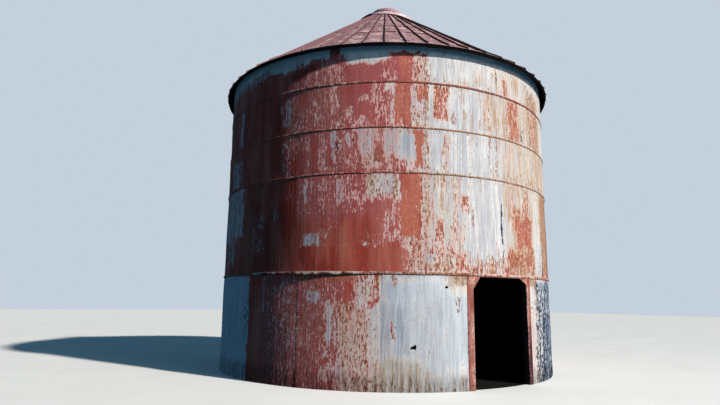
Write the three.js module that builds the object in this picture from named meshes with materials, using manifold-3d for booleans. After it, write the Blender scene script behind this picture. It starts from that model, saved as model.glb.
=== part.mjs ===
// A round steel grain silo, 27 ft across and about 10 m tall, standing on the ground.
// Five courses of curved steel sheet stand on each other, with a rolled hoop over each seam.
// A ribbed conical roof with a two-tier cap closes the top, and a framed doorway with no door
// is cut through the bottom course.
// Millimetres, +Z up. The origin is on the silo's axis at ground level, and the doorway faces -Y.
// A bearing is an angle in degrees round the axis, from the doorway's centre towards +X.

import * as THREE from "three";
import Module from "manifold-3d";
import { mergeVertices } from "three/addons/utils/BufferGeometryUtils.js";

// Wall
const WALL_RADIUS = 4115; // outer face of the sheets
const SHEET = 3;
const CLEAR = 0.3; // gap between pieces that touch
const SEAMS = [2180, 4150, 5080, 6040]; // heights of the four seams between courses
const SHEET_SPAN = 24; // degrees covered by one sheet
const STRAP_HALF_WIDTH = 32; // half of the vertical strap over each joint between sheets

// Roof
const ROOF_SLOPE = THREE.MathUtils.degToRad(36.5);
const EAVE_RADIUS = 4288;
const EAVE_HEIGHT = 6790; // underside of the roof's outer edge
const ROOF_SHEET = 3;
const ROOF_TOP_RADIUS = 620; // where the roof sheets end, under the cap
const ROOF_LAPS = [3150, 2450]; // radii where an upper row of roof sheets laps a lower one
const RIB_WIDTH = 24;
const RIB_HEIGHT = 30;
const RIB_STEP = 6; // degrees between ribs

// Cap
const SKIRT_RADIUS = 800;
const SKIRT_RIM = 90; // height of the skirt's upright rim
const NECK_RADIUS = 400;
const SKIRT_RISE = 250; // from the rim's top to the neck
const LID_RADIUS = 440;
const LID_LIP = 20; // how far the lid's rim hangs below the neck
const LID_RIM = 24; // how far the rim stands above the neck
const LID_FLAT_RADIUS = 70;
const LID_RISE = 230;
const CAP_SHEET = 4;

// Hoops
const HOOP_HEIGHTS = [55, 46, 46, 46];
const HOOP_DEPTHS = [38, 28, 28, 28];

// Rings at the foot, eave and peak
const ANGLE_LEG = 75;
const ANGLE_THICKNESS = 6;

// Doorway
const DOOR_BEARING = 12; // the sheets stop this far on each side of the doorway's centre
const JAMB_INTO_OPENING = 86; // the jamb's face reaches this far past the sheet's end
const JAMB_OVER_SHEET = 57;
const JAMB_PLATE = 6;
const JAMB_DEPTH = 104;
const HEADER_THICKNESS = 8;
const HEADER_LEG = 80;
const GUSSETS = { left: { width: 165, drop: 240 }, right: { width: 290, drop: 115 } };

// Two rusted-through holes beside the doorway, as bearing, height and outline
const RUST_HOLES = [
  { bearing: -18.9, height: 1926, outline: [[-38, -6], [-14, -26], [20, -20], [40, 4], [16, 24], [-22, 20]] },
  { bearing: -28.1, height: 807, outline: [[-64, -38], [-8, -30], [38, -46], [58, 6], [36, 56], [-6, 22], [-52, 4]] },
];

const FACET = 6; // round pieces have a corner at every multiple of this bearing
const TURN = 360;

const material = (color, roughness, metalness) =>
  new THREE.MeshStandardMaterial({ color, roughness, metalness });
const MATERIALS = {
  wall: material(0xa9604f, 0.75, 0.1),
  hoop: material(0x8a5038, 0.8, 0.15),
  roof: material(0x93665f, 0.65, 0.15),
  doorFrame: material(0x9d4334, 0.7, 0.1),
  ring: material(0x6b5348, 0.8, 0.3),
  cap: material(0xa07a74, 0.6, 0.15),
};

const silo = new THREE.Group();

function addMesh(name, geometry, look, parent = silo) {
  const mesh = new THREE.Mesh(geometry, look);
  mesh.name = name;
  parent.add(mesh);
  return mesh;
}

// Joins and cuts

const wasm = await Module();
wasm.setup();

function solidOf(geometry) {
  const bare = new THREE.BufferGeometry();
  bare.setAttribute("position", geometry.getAttribute("position"));
  if (geometry.index) bare.setIndex(geometry.index);
  const merged = mergeVertices(bare, 1e-3);
  const triVerts = new Uint32Array(merged.index.array);
  const vertProperties = merged.attributes.position.array;
  return new wasm.Manifold(new wasm.Mesh({ numProp: 3, vertProperties, triVerts }));
}

function geometryOf(solid) {
  const mesh = solid.getMesh();
  const geometry = new THREE.BufferGeometry();
  geometry.setAttribute("position", new THREE.BufferAttribute(new Float32Array(mesh.vertProperties), 3));
  geometry.setIndex(new THREE.BufferAttribute(new Uint32Array(mesh.triVerts), 1));
  return geometry;
}

// Plan shapes on the 60-sided ring

const radians = THREE.MathUtils.degToRad;

// Radius of the ring's flat side at a bearing, for a ring whose corners lie at the given radius.
function sideRadius(cornerRadius, bearing) {
  const half = FACET / 2;
  const fromCorner = ((bearing % FACET) + FACET) % FACET;
  return (cornerRadius * Math.cos(radians(half))) / Math.cos(radians(half - fromCorner));
}

function planPoint(radius, bearing) {
  return new THREE.Vector2(radius * Math.sin(radians(bearing)), -radius * Math.cos(radians(bearing)));
}

// Points along the ring from one bearing to a larger one, with a point at each corner between.
function arc(cornerRadius, from, to) {
  const bearings = [from];
  for (let k = Math.floor(from / FACET) + 1; k * FACET < to - 1e-6; k++) {
    if (k * FACET > from + 1e-6) bearings.push(k * FACET);
  }
  bearings.push(to);
  return bearings.map((bearing) => planPoint(sideRadius(cornerRadius, bearing), bearing));
}

function arcStrip(innerRadius, outerRadius, from, to) {
  return new THREE.Shape([...arc(outerRadius, from, to), ...arc(innerRadius, from, to).reverse()]);
}

function upright(shape, bottom, top) {
  const geometry = new THREE.ExtrudeGeometry(shape, { depth: top - bottom, bevelEnabled: false });
  return geometry.translate(0, 0, bottom);
}

// A closed ring from a profile of [radius, height] corners.
function turned(profile) {
  const closed = [...profile, profile[0]].map(([radius, height]) => new THREE.Vector2(radius, height));
  return new THREE.LatheGeometry(closed, TURN / FACET).rotateX(Math.PI / 2);
}

const angleOf = (length, radius) => THREE.MathUtils.radToDeg(length / radius);

// Wall: each node is up to three sheets bolted side by side, with a strap over each joint

function sheetGroup(from, to, strapAtEnd) {
  const strap = angleOf(STRAP_HALF_WIDTH, WALL_RADIUS);
  const strapRadius = WALL_RADIUS + CLEAR + SHEET;
  const end = to - angleOf(CLEAR, WALL_RADIUS);
  const outline = [];
  let reached = from;
  for (let joint = from + SHEET_SPAN; joint < to - 1; joint += SHEET_SPAN) {
    outline.push(...arc(WALL_RADIUS, reached, joint - strap));
    outline.push(...arc(strapRadius, joint - strap, joint + strap));
    reached = joint + strap;
  }
  if (strapAtEnd) {
    outline.push(...arc(WALL_RADIUS, reached, to - strap));
    outline.push(...arc(strapRadius, to - strap, to + strap));
    outline.push(...arc(WALL_RADIUS + CLEAR, end, to + strap).reverse());
  } else {
    outline.push(...arc(WALL_RADIUS, reached, end));
  }
  outline.push(...arc(WALL_RADIUS - SHEET, from, end).reverse());
  return new THREE.Shape(outline);
}

function cutRustHoles(geometry) {
  let solid = solidOf(geometry);
  const depth = 60;
  for (const { bearing, height, outline } of RUST_HOLES) {
    const shape = new THREE.Shape(outline.map(([x, y]) => new THREE.Vector2(x, y)));
    const plug = new THREE.ExtrudeGeometry(shape, { depth, bevelEnabled: false });
    plug.translate(0, 0, -depth / 2).rotateX(Math.PI / 2);
    plug.translate(0, -WALL_RADIUS, height).rotateZ(radians(bearing));
    solid = solid.subtract(solidOf(plug));
  }
  return geometryOf(solid);
}

const roofUnderside = (radius) => EAVE_HEIGHT + (EAVE_RADIUS - radius) * Math.tan(ROOF_SLOPE);
const WALL_TOP = roofUnderside(WALL_RADIUS + CLEAR + SHEET) - 2 * CLEAR;

function addBottomCourse() {
  const ends = [DOOR_BEARING, 84, 156, 204, 276, TURN - DOOR_BEARING];
  for (let i = 0; i + 1 < ends.length; i++) {
    const last = i + 2 === ends.length;
    const sheets = upright(sheetGroup(ends[i], ends[i + 1], !last), 0, SEAMS[0]);
    addMesh(`bottom_course_sheets_${i + 1}`, last ? cutRustHoles(sheets) : sheets, MATERIALS.wall);
  }
}

function addUpperCourses() {
  const names = ["second_course", "third_course", "fourth_course", "top_course"];
  const groupSpan = 3 * SHEET_SPAN;
  names.forEach((name, level) => {
    const bottom = SEAMS[level] + CLEAR;
    const top = level + 1 < SEAMS.length ? SEAMS[level + 1] : WALL_TOP;
    for (let i = 0; i < TURN / groupSpan; i++) {
      const outline = sheetGroup(i * groupSpan, (i + 1) * groupSpan, true);
      addMesh(`${name}_sheets_${i + 1}`, upright(outline, bottom, top), MATERIALS.wall);
    }
  });
}

function addSeamHoops() {
  const inner = WALL_RADIUS + SHEET + 2 * CLEAR;
  SEAMS.forEach((seam, i) => {
    const half = HOOP_HEIGHTS[i] / 2;
    const outer = WALL_RADIUS + HOOP_DEPTHS[i];
    const shoulder = outer - HOOP_DEPTHS[i] * 0.4;
    const profile = [
      [inner, seam - half],
      [shoulder, seam - half],
      [outer, seam - half * 0.5],
      [outer, seam + half * 0.4],
      [shoulder, seam + half],
      [inner, seam + half],
    ];
    addMesh(`seam_hoop_${i + 1}`, turned(profile), MATERIALS.hoop);
  });
}

// Rings that carry the wall and the roof

function addBaseRing() {
  const outer = WALL_RADIUS - SHEET - CLEAR;
  const from = DOOR_BEARING;
  const to = TURN - DOOR_BEARING;
  const floorLeg = upright(arcStrip(outer - ANGLE_LEG, outer, from, to), 0, ANGLE_THICKNESS);
  const wallLeg = upright(arcStrip(outer - ANGLE_THICKNESS, outer, from, to), 0, ANGLE_LEG);
  addMesh("base_ring", geometryOf(solidOf(floorLeg).add(solidOf(wallLeg))), MATERIALS.ring);
}

// An angle whose lower leg stands against the wall and whose upper leg lies under the roof.
function addEaveRing() {
  const outer = WALL_RADIUS - SHEET - CLEAR;
  const inner = outer - ANGLE_THICKNESS;
  const innerEnd = outer - ANGLE_LEG * Math.cos(ROOF_SLOPE);
  const gap = CLEAR / Math.cos(ROOF_SLOPE);
  const leg = ANGLE_THICKNESS / Math.cos(ROOF_SLOPE);
  const profile = [
    [outer, WALL_TOP - ANGLE_LEG],
    [outer, roofUnderside(outer) - gap],
    [innerEnd, roofUnderside(innerEnd) - gap],
    [innerEnd, roofUnderside(innerEnd) - gap - leg],
    [inner, roofUnderside(inner) - gap - leg],
    [inner, WALL_TOP - ANGLE_LEG],
  ];
  addMesh("eave_ring", turned(profile), MATERIALS.ring);
}

function addPeakRing() {
  const gap = CLEAR / Math.cos(ROOF_SLOPE);
  const leg = ANGLE_THICKNESS / Math.cos(ROOF_SLOPE);
  const outer = ROOF_TOP_RADIUS + ANGLE_LEG;
  const inner = ROOF_TOP_RADIUS;
  const bottom = roofUnderside(outer) - ANGLE_LEG;
  const profile = [
    [outer, roofUnderside(outer) - gap],
    [inner, roofUnderside(inner) - gap],
    [inner, bottom],
    [inner + ANGLE_THICKNESS, bottom],
    [inner + ANGLE_THICKNESS, roofUnderside(inner + ANGLE_THICKNESS) - gap - leg],
    [outer, roofUnderside(outer) - gap - leg],
  ];
  addMesh("peak_ring", turned(profile), MATERIALS.ring);
}

// Roof: five sectors of twelve sheets, each sheet with a standing rib along its first edge

const SECTOR_SHEETS = 12;
const LAP_RUN = 2;
const roofRise = ROOF_SHEET / Math.cos(ROOF_SLOPE);
const ribTopRise = roofRise * (1 + ROOF_LAPS.length) + RIB_HEIGHT / Math.cos(ROOF_SLOPE);

// Each station is a radius, with the height of the sheet's top above the roof's underside there.
const ROOF_STATIONS = [[EAVE_RADIUS, roofRise]];
ROOF_LAPS.forEach((lap, i) => {
  ROOF_STATIONS.push([lap, roofRise * (i + 1)], [lap - LAP_RUN, roofRise * (i + 2)]);
});
ROOF_STATIONS.push([ROOF_TOP_RADIUS, roofRise * (1 + ROOF_LAPS.length)]);

// A point on the roof, set off along the facet from one of the ring's corners.
function roofPoint(radius, cornerBearing, offset, rise) {
  const corner = planPoint(radius, cornerBearing);
  const next = planPoint(radius, cornerBearing + (offset < 0 ? -FACET : FACET));
  const plan = corner.clone().lerp(next, Math.abs(offset) / corner.distanceTo(next));
  return new THREE.Vector3(plan.x, plan.y, roofUnderside(radius) + rise);
}

// The sector's outline at one radius: its underside from left to right, then its top back again.
function sectorOutline(radius, sheetRise, firstBearing) {
  const half = RIB_WIDTH / 2;
  const at = (corner, offset, rise) => roofPoint(radius, firstBearing + corner * RIB_STEP, offset, rise);
  const outline = [at(0, -half, 0)];
  for (let k = 0; k < SECTOR_SHEETS; k++) outline.push(at(k, 0, 0));
  outline.push(at(SECTOR_SHEETS, -half - CLEAR, 0));
  outline.push(at(SECTOR_SHEETS, -half - CLEAR, sheetRise));
  for (let k = SECTOR_SHEETS - 1; k >= 0; k--) {
    outline.push(at(k, half, sheetRise), at(k, half, ribTopRise), at(k, 0, ribTopRise));
    outline.push(at(k, -half, ribTopRise));
    if (k > 0) outline.push(at(k, -half, sheetRise));
  }
  return outline;
}

// The outline's indices, one flat polygon for each facet that it crosses.
function sectorFacets() {
  const last = SECTOR_SHEETS - 1;
  const under = (k) => k + 1;
  const top = (k, part) => SECTOR_SHEETS + 3 + (last - k) * 5 + part;
  const facets = [[0, under(0), top(0, 2), top(0, 3)]];
  for (let k = 0; k < last; k++) {
    const right = [top(k + 1, 2), top(k + 1, 3), top(k + 1, 4)];
    facets.push([under(k), under(k + 1), ...right, top(k, 0), top(k, 1), top(k, 2)]);
  }
  facets.push([under(last), under(last) + 1, under(last) + 2, top(last, 0), top(last, 1), top(last, 2)]);
  return facets;
}

// Triangles that close the sector at one end.
function sectorEnd(outline) {
  const triangles = [];
  for (const facet of sectorFacets()) {
    const start = outline[facet[0]];
    const flat = facet.map((i) => {
      const { x, y, z } = outline[i];
      return new THREE.Vector2(Math.hypot(x - start.x, y - start.y), z);
    });
    for (const triangle of THREE.ShapeUtils.triangulateShape(flat, [])) {
      triangles.push(triangle.map((i) => facet[i]));
    }
  }
  return triangles;
}

function roofSector(firstBearing) {
  const outlines = ROOF_STATIONS.map(([radius, rise]) => sectorOutline(radius, rise, firstBearing));
  const count = outlines[0].length;
  const index = [];
  for (let i = 0; i + 1 < outlines.length; i++) {
    for (let j = 0; j < count; j++) {
      const a = i * count + j;
      const b = i * count + ((j + 1) % count);
      index.push(a, a + count, b, b, a + count, b + count);
    }
  }
  const lastStart = (outlines.length - 1) * count;
  for (const [a, b, c] of sectorEnd(outlines[0])) index.push(a, b, c);
  for (const [a, b, c] of sectorEnd(outlines.at(-1))) index.push(lastStart + c, lastStart + b, lastStart + a);
  const geometry = new THREE.BufferGeometry().setFromPoints(outlines.flat());
  geometry.setIndex(index);
  return geometry;
}

function addRoofSectors() {
  const span = SECTOR_SHEETS * RIB_STEP;
  for (let i = 0; i < TURN / span; i++) addMesh(`roof_sector_${i + 1}`, roofSector(i * span), MATERIALS.roof);
}

// Cap: a skirt that sits on the ribs, and a lid that sits on the skirt

const SKIRT_FOOT = roofUnderside(SKIRT_RADIUS - CAP_SHEET) + ribTopRise + CLEAR;
const SKIRT_TOP = SKIRT_FOOT + SKIRT_RIM + SKIRT_RISE;

function addCapSkirt() {
  const profile = [
    [SKIRT_RADIUS, SKIRT_FOOT],
    [SKIRT_RADIUS, SKIRT_FOOT + SKIRT_RIM],
    [NECK_RADIUS, SKIRT_TOP],
    [NECK_RADIUS - CAP_SHEET, SKIRT_TOP],
    [NECK_RADIUS - CAP_SHEET, SKIRT_TOP - CAP_SHEET],
    [SKIRT_RADIUS - CAP_SHEET, SKIRT_FOOT + SKIRT_RIM - CAP_SHEET],
    [SKIRT_RADIUS - CAP_SHEET, SKIRT_FOOT],
  ];
  addMesh("cap_skirt", turned(profile), MATERIALS.cap);
}

// A flat flange inside the lid rests on the neck, and the lid's rim hangs round the neck.
function addCapLid() {
  const foot = SKIRT_TOP + CLEAR;
  const shoulder = foot + LID_RIM;
  const top = shoulder + LID_RISE;
  const inner = LID_RADIUS - CAP_SHEET;
  const rest = NECK_RADIUS - 5 * CAP_SHEET;
  const profile = [
    [0, top - CAP_SHEET],
    [LID_FLAT_RADIUS, top - CAP_SHEET],
    [inner, shoulder - CAP_SHEET],
    [inner, foot + CAP_SHEET],
    [rest, foot + CAP_SHEET],
    [rest, foot],
    [inner, foot],
    [inner, foot - LID_LIP],
    [LID_RADIUS, foot - LID_LIP],
    [LID_RADIUS, shoulder],
    [LID_FLAT_RADIUS, top],
    [0, top],
  ].map(([radius, height]) => new THREE.Vector2(radius, height));
  addMesh("cap_lid", new THREE.LatheGeometry(profile, TURN / FACET).rotateX(Math.PI / 2), MATERIALS.cap);
}

// Doorway: two folded jambs, a header angle and two corner gussets

const HEADER_BOTTOM = SEAMS[0] - HOOP_HEIGHTS[0] / 2 - CLEAR - HEADER_THICKNESS;
const JAMB_TOP = HEADER_BOTTOM - CLEAR;

// Places a shape drawn on the flat of the jamb: x runs from the sheet's end away from the
// opening, and y runs outwards from the sheet's face. side is -1 on the left and 1 on the right.
function atSheetEnd(geometry, side) {
  const placed = geometry.translate(0, -WALL_RADIUS, 0);
  return placed.rotateZ(radians(side * DOOR_BEARING));
}

function addJamb(name, side) {
  const edge = -side * JAMB_INTO_OPENING;
  const inside = -side * (JAMB_INTO_OPENING - JAMB_PLATE);
  const far = side * JAMB_OVER_SHEET;
  const face = -CLEAR;
  const outline = [
    [far, face],
    [far, face - JAMB_PLATE],
    [edge, face - JAMB_PLATE],
    [edge, JAMB_DEPTH],
    [inside, JAMB_DEPTH],
    [inside, face],
  ].map(([x, y]) => new THREE.Vector2(x, y));
  addMesh(name, atSheetEnd(upright(new THREE.Shape(outline), 0, JAMB_TOP), side), MATERIALS.doorFrame);
}

function addGusset(name, side, { width, drop }) {
  const corner = -side * (JAMB_INTO_OPENING + CLEAR);
  const tip = corner - side * width;
  const shape = new THREE.Shape([
    new THREE.Vector2(corner, JAMB_TOP),
    new THREE.Vector2(tip, JAMB_TOP),
    new THREE.Vector2(corner, JAMB_TOP - drop),
  ]);
  const plate = new THREE.ExtrudeGeometry(shape, { depth: JAMB_PLATE, bevelEnabled: false });
  plate.rotateX(Math.PI / 2).translate(0, -CLEAR, 0);
  addMesh(name, atSheetEnd(plate, side), MATERIALS.doorFrame);
}

function addHeader() {
  const end = DOOR_BEARING - 2 * angleOf(JAMB_PLATE / 4, WALL_RADIUS);
  const legFace = WALL_RADIUS - SHEET - CLEAR;
  const flat = upright(
    arcStrip(WALL_RADIUS - JAMB_DEPTH, WALL_RADIUS + 4 * SHEET, -end, end),
    HEADER_BOTTOM,
    HEADER_BOTTOM + HEADER_THICKNESS,
  );
  const leg = upright(
    arcStrip(legFace - ANGLE_THICKNESS, legFace, -end, end),
    HEADER_BOTTOM,
    HEADER_BOTTOM + HEADER_LEG,
  );
  addMesh("door_header", geometryOf(solidOf(flat).add(solidOf(leg))), MATERIALS.doorFrame);
}

addBottomCourse();
addUpperCourses();
addSeamHoops();
addBaseRing();
addEaveRing();
addPeakRing();
addRoofSectors();
addCapSkirt();
addCapLid();
addJamb("door_jamb_left", -1);
addJamb("door_jamb_right", 1);
addGusset("door_gusset_left", -1, GUSSETS.left);
addGusset("door_gusset_right", 1, GUSSETS.right);
addHeader();

export default silo;
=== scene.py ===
# The looks of a round steel grain silo: rippled and lapped wall sheets with peeling paint,
# a ribbed roof of 60 warped panels, a two-tier cap, and a framed doorway with no door.
# Metres, +Z up. A bearing is an angle in degrees round the axis, from the doorway towards +X.

import math

import bpy
import numpy as np
from mathutils import Matrix, Vector


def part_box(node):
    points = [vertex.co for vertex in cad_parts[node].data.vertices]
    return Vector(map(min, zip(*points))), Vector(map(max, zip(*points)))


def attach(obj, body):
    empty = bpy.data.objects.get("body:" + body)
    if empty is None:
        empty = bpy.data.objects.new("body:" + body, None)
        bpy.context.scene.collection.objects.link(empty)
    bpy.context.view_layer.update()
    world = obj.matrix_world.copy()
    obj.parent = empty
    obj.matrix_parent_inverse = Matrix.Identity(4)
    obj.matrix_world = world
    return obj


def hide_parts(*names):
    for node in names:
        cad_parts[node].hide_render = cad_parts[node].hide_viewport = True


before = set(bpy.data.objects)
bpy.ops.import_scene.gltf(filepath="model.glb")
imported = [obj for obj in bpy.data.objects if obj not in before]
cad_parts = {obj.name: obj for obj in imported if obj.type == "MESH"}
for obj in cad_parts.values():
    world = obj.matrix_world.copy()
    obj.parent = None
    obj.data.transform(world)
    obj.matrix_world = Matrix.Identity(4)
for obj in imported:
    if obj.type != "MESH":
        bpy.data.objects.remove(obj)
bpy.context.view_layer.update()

# Sizes, as the construction has them

WALL_RADIUS = 4.115
SHEET = 0.003
SEAMS = (2.18, 4.15, 5.08, 6.04)
WALL_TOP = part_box("top_course_sheets_1")[1][2]
LEVELS = (0.0, *SEAMS, WALL_TOP)
COURSES = ("bottom_course", "second_course", "third_course", "fourth_course", "top_course")
COURSE_GAP = 0.0003
SHEET_SPAN = 24
DOOR_BEARING = 12
COURSE_ENDS = (0, 72, 144, 216, 288, 360)
BOTTOM_ENDS = (DOOR_BEARING, 84, 156, 204, 276, 360 - DOOR_BEARING)
HOOP_SIZES = ((0.052, 0.020), (0.034, 0.013), (0.034, 0.013), (0.042, 0.014))
JAMB_INTO_OPENING = 0.086
JAMB_OVER_SHEET = 0.057
JAMB_PLATE = 0.006
JAMB_DEPTH = 0.104
JAMB_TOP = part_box("door_jamb_left")[1][2]
GUSSET_SIZES = {"left": (0.165, 0.24), "right": (0.29, 0.115)}
ROOF_SLOPE = math.radians(36.5)
EAVE_RADIUS = 4.288
EAVE_HEIGHT = 6.79
ROOF_TOP_RADIUS = 0.62
RIB_STEP = 6.0
RIB_WIDTH = 0.024
RIB_TOP = 0.0485
SECTORS = 5
PANELS_IN_SECTOR = 12
SKIRT_RADIUS = 0.8
SKIRT_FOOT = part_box("cap_skirt")[0][2]
SKIRT_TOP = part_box("cap_skirt")[1][2]
SKIRT_RIM = 0.09
NECK_RADIUS = 0.4
LID_RADIUS = 0.44
LID_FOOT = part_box("cap_lid")[0][2]
LID_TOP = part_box("cap_lid")[1][2]
CAP_SHEET = 0.004

# Finer form, in metres: ripples, laps, hoops, bolts, the warped roof and the settled cap

RIPPLE = 0.0030
DENT = 0.0065
CALM_HEIGHT = 0.16
ROW_HEIGHT = 0.055
LAP_HALF_WIDTH = 0.032
LAP_RISE = 0.0016
HOOP_GAP = 0.0008
HOOP_WAVE = 0.004
HOOP_NICK = 0.003
HOOP_SPRUNG = 0.017
BOLT_SIZE = 0.0075
BOLT_COLUMN = 0.017
BOLT_STEP = 0.11
BOLT_MARGIN = 0.075
JAMB_BOLT_SIZE = 0.011
JAMB_BOLT_STEP = 0.31
JAMB_FACE = -0.0004
JAMB_FRONT = JAMB_FACE - JAMB_PLATE + 0.0002
JAMB_BEND = 0.002
JAMB_STEP = 0.045
GUSSET_GAP = 0.0003
GUSSET_PLATE = 0.006
ROOF_SHEET = 0.0025
ROOF_SHEET_RISE = SHEET / math.cos(ROOF_SLOPE)
ROOF_LAPS = (3.15, 2.45)
ROOF_LAP = 0.05
EAVE_FLARE = 0.026
EAVE_FLARE_LENGTH = 0.4
DRIP_RADIUS = 4.262
DRIP_HEIGHTS = (6.75, 6.784, 6.818)
RIM_DROP = 0.026
CAP_DROP = 0.10
LID_SPREAD = 0.03
LID_WALL = 0.09
LID_APEX = LID_TOP - 0.147
LID_HOLE = 0.07
LID_CURVE = ((1.0, 0.0), (0.96, 0.3), (0.88, 0.55), (0.7, 0.8), (0.45, 0.94), (0.25, 0.985))
CAP_SLIDE = 0.038

# Bearings and turns round the axis, in degrees

COLUMN_STEP = 0.45
LAP_RAMP = 0.08
LAP_SHADOW = 0.16
HOOP_STEP = 0.5
SPRUNG_BEARING = 300.0
BOLT_ROW_STEP = 3.4
BOLT_INSET = 1.5
BOLT_CLEAR = 0.9
CAP_STEP = 3.0
CAP_SLIDE_BEARING = 56.8

# Angles, in radians

CAP_TILT = math.radians(2.0)
SHARP_EDGE = math.radians(30.0)


def degrees_of(length):
    """The turn that a length takes up on the wall."""
    return math.degrees(length / WALL_RADIUS)


def ring_point(radius, bearing, height):
    turn = np.radians(bearing)
    x, y, z = np.broadcast_arrays(radius * np.sin(turn), -radius * np.cos(turn), height)
    return np.stack([x, y, z], axis=-1)


def bearing_of(points):
    return np.degrees(np.arctan2(points[..., 0], -points[..., 1]))


def turn_from(start, bearing):
    """The turn from one bearing to another, from -180 to 180."""
    return (np.asarray(bearing) - start + 180.0) % 360.0 - 180.0


def ease(value):
    value = np.clip(value, 0.0, 1.0)
    return value * value * (3.0 - 2.0 * value)


def even_steps(start, end, step):
    return np.linspace(start, end, max(2, int(round((end - start) / step)) + 1))


def drift(bearing, height, cells, tall, seed):
    """Smooth noise from -1 to 1, with so many cells in a full turn, each so many metres tall."""
    repeat = 97
    lattice = np.random.default_rng(seed).uniform(-1.0, 1.0, (repeat, cells))
    across = np.asarray(bearing) / 360.0 * cells
    up = np.asarray(height) / tall + 5.0
    column = np.floor(across).astype(int)
    row = np.floor(up).astype(int)
    u = ease(across - column)
    v = ease(up - row)
    low, high = (
        lattice[level % repeat, column % cells] * (1 - u) + lattice[level % repeat, (column + 1) % cells] * u
        for level in (row, row + 1)
    )
    return low * (1 - v) + high * v


# Mesh building: every chunk is closed and made of quads


def quads_of(index):
    """The quads between the rows and columns of a grid of vertex numbers."""
    corners = [index[:-1, :-1], index[:-1, 1:], index[1:, 1:], index[1:, :-1]]
    return np.stack(corners, axis=-1).reshape(-1, 4)


def shell(outer, inner):
    """A closed skin between two grids of points, with its inner quads counted as kind 1."""
    rows, columns = outer.shape[:2]
    index = np.arange(rows * columns).reshape(rows, columns)
    far = rows * columns
    rim = np.concatenate([index[0, :-1], index[:-1, -1], index[-1, :0:-1], index[:0:-1, 0]])
    after = np.roll(rim, -1)
    sides = np.stack([after, rim, rim + far, after + far], axis=-1)
    front = quads_of(index)
    quads = np.concatenate([front, sides, front[:, ::-1] + far])
    kinds = np.zeros(len(quads), int)
    kinds[len(front) + len(sides):] = 1
    return np.concatenate([outer.reshape(-1, 3), inner.reshape(-1, 3)]), quads, kinds


def tube(rings, closed=False):
    """A closed solid through rings of points. Open ends are shut by strips of quads."""
    count, around = rings.shape[:2]
    index = np.arange(count * around).reshape(count, around)
    wrapped = np.concatenate([index, index[:, :1]], axis=1)
    if closed:
        wrapped = np.concatenate([wrapped, wrapped[:1]], axis=0)
    parts = [quads_of(wrapped)]
    if not closed:
        strip = np.array([(i, i + 1, around - 2 - i, around - 1 - i) for i in range(around // 2 - 1)])
        parts += [strip[:, ::-1], strip + (count - 1) * around]
    quads = np.concatenate(parts)
    return rings.reshape(-1, 3), quads, np.zeros(len(quads), int)


def outward(chunk):
    """The same chunk with its faces turned outwards."""
    points, quads, kinds = chunk
    a, b, c, d = (points[quads[:, i]] for i in range(4))
    volume = np.einsum("ij,ij->i", a, np.cross(b, c)) + np.einsum("ij,ij->i", a, np.cross(c, d))
    return (points, quads if volume.sum() > 0 else quads[:, ::-1], kinds)


def add_object(name, mesh):
    item = bpy.data.objects.new(name, mesh)
    bpy.context.collection.objects.link(item)
    return item


def plain_object(name, points, quads):
    mesh = bpy.data.meshes.new(name)
    mesh.from_pydata(points, [], quads)
    return add_object(name, mesh)


def make_piece(name, chunks, materials, nodes=()):
    """One mesh object from many chunks, riding on the silo and standing for the nodes given."""
    chunks = [outward(chunk) for chunk in chunks]
    starts = np.cumsum([0] + [len(chunk[0]) for chunk in chunks])
    points = np.concatenate([chunk[0] for chunk in chunks])
    quads = np.concatenate([chunk[1] + start for chunk, start in zip(chunks, starts)])
    kinds = np.concatenate([chunk[2] for chunk in chunks])
    mesh = bpy.data.meshes.new(name)
    mesh.vertices.add(len(points))
    mesh.vertices.foreach_set("co", points.astype(np.float32).ravel())
    mesh.loops.add(quads.size)
    mesh.loops.foreach_set("vertex_index", quads.astype(np.int32).ravel())
    mesh.polygons.add(len(quads))
    mesh.polygons.foreach_set("loop_start", np.arange(0, quads.size, 4, dtype=np.int32))
    mesh.polygons.foreach_set("material_index", kinds.astype(np.int32))
    mesh.update(calc_edges=True)
    for material in materials:
        mesh.materials.append(material)
    mesh.shade_smooth()
    mesh.set_sharp_from_angle(angle=SHARP_EDGE)
    piece = add_object(name, mesh)
    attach(piece, "root")
    if nodes:
        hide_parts(*nodes)
    return piece


def points_of(piece):
    points = np.empty(len(piece.data.vertices) * 3, np.float32)
    piece.data.vertices.foreach_get("co", points)
    return points.reshape(-1, 3).astype(float)


def write_layer(piece, name, values, kind="FLOAT_COLOR", field="color"):
    layer = piece.data.attributes.new(name, kind, "POINT")
    layer.data.foreach_set(field, values.astype(np.float32).ravel())


def write_channels(piece, name, channels):
    write_layer(piece, name, np.stack([*channels, np.ones_like(channels[0])], axis=-1))


# Materials


def srgb(red, green, blue):
    """A colour as seen on a screen, 0 to 255, in the linear light that shaders use."""
    shares = [value / 255.0 for value in (red, green, blue)]
    return (*(s / 12.92 if s <= 0.04045 else ((s + 0.055) / 1.055) ** 2.4 for s in shares), 1.0)


COVER_SPREAD = 0.20


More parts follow.
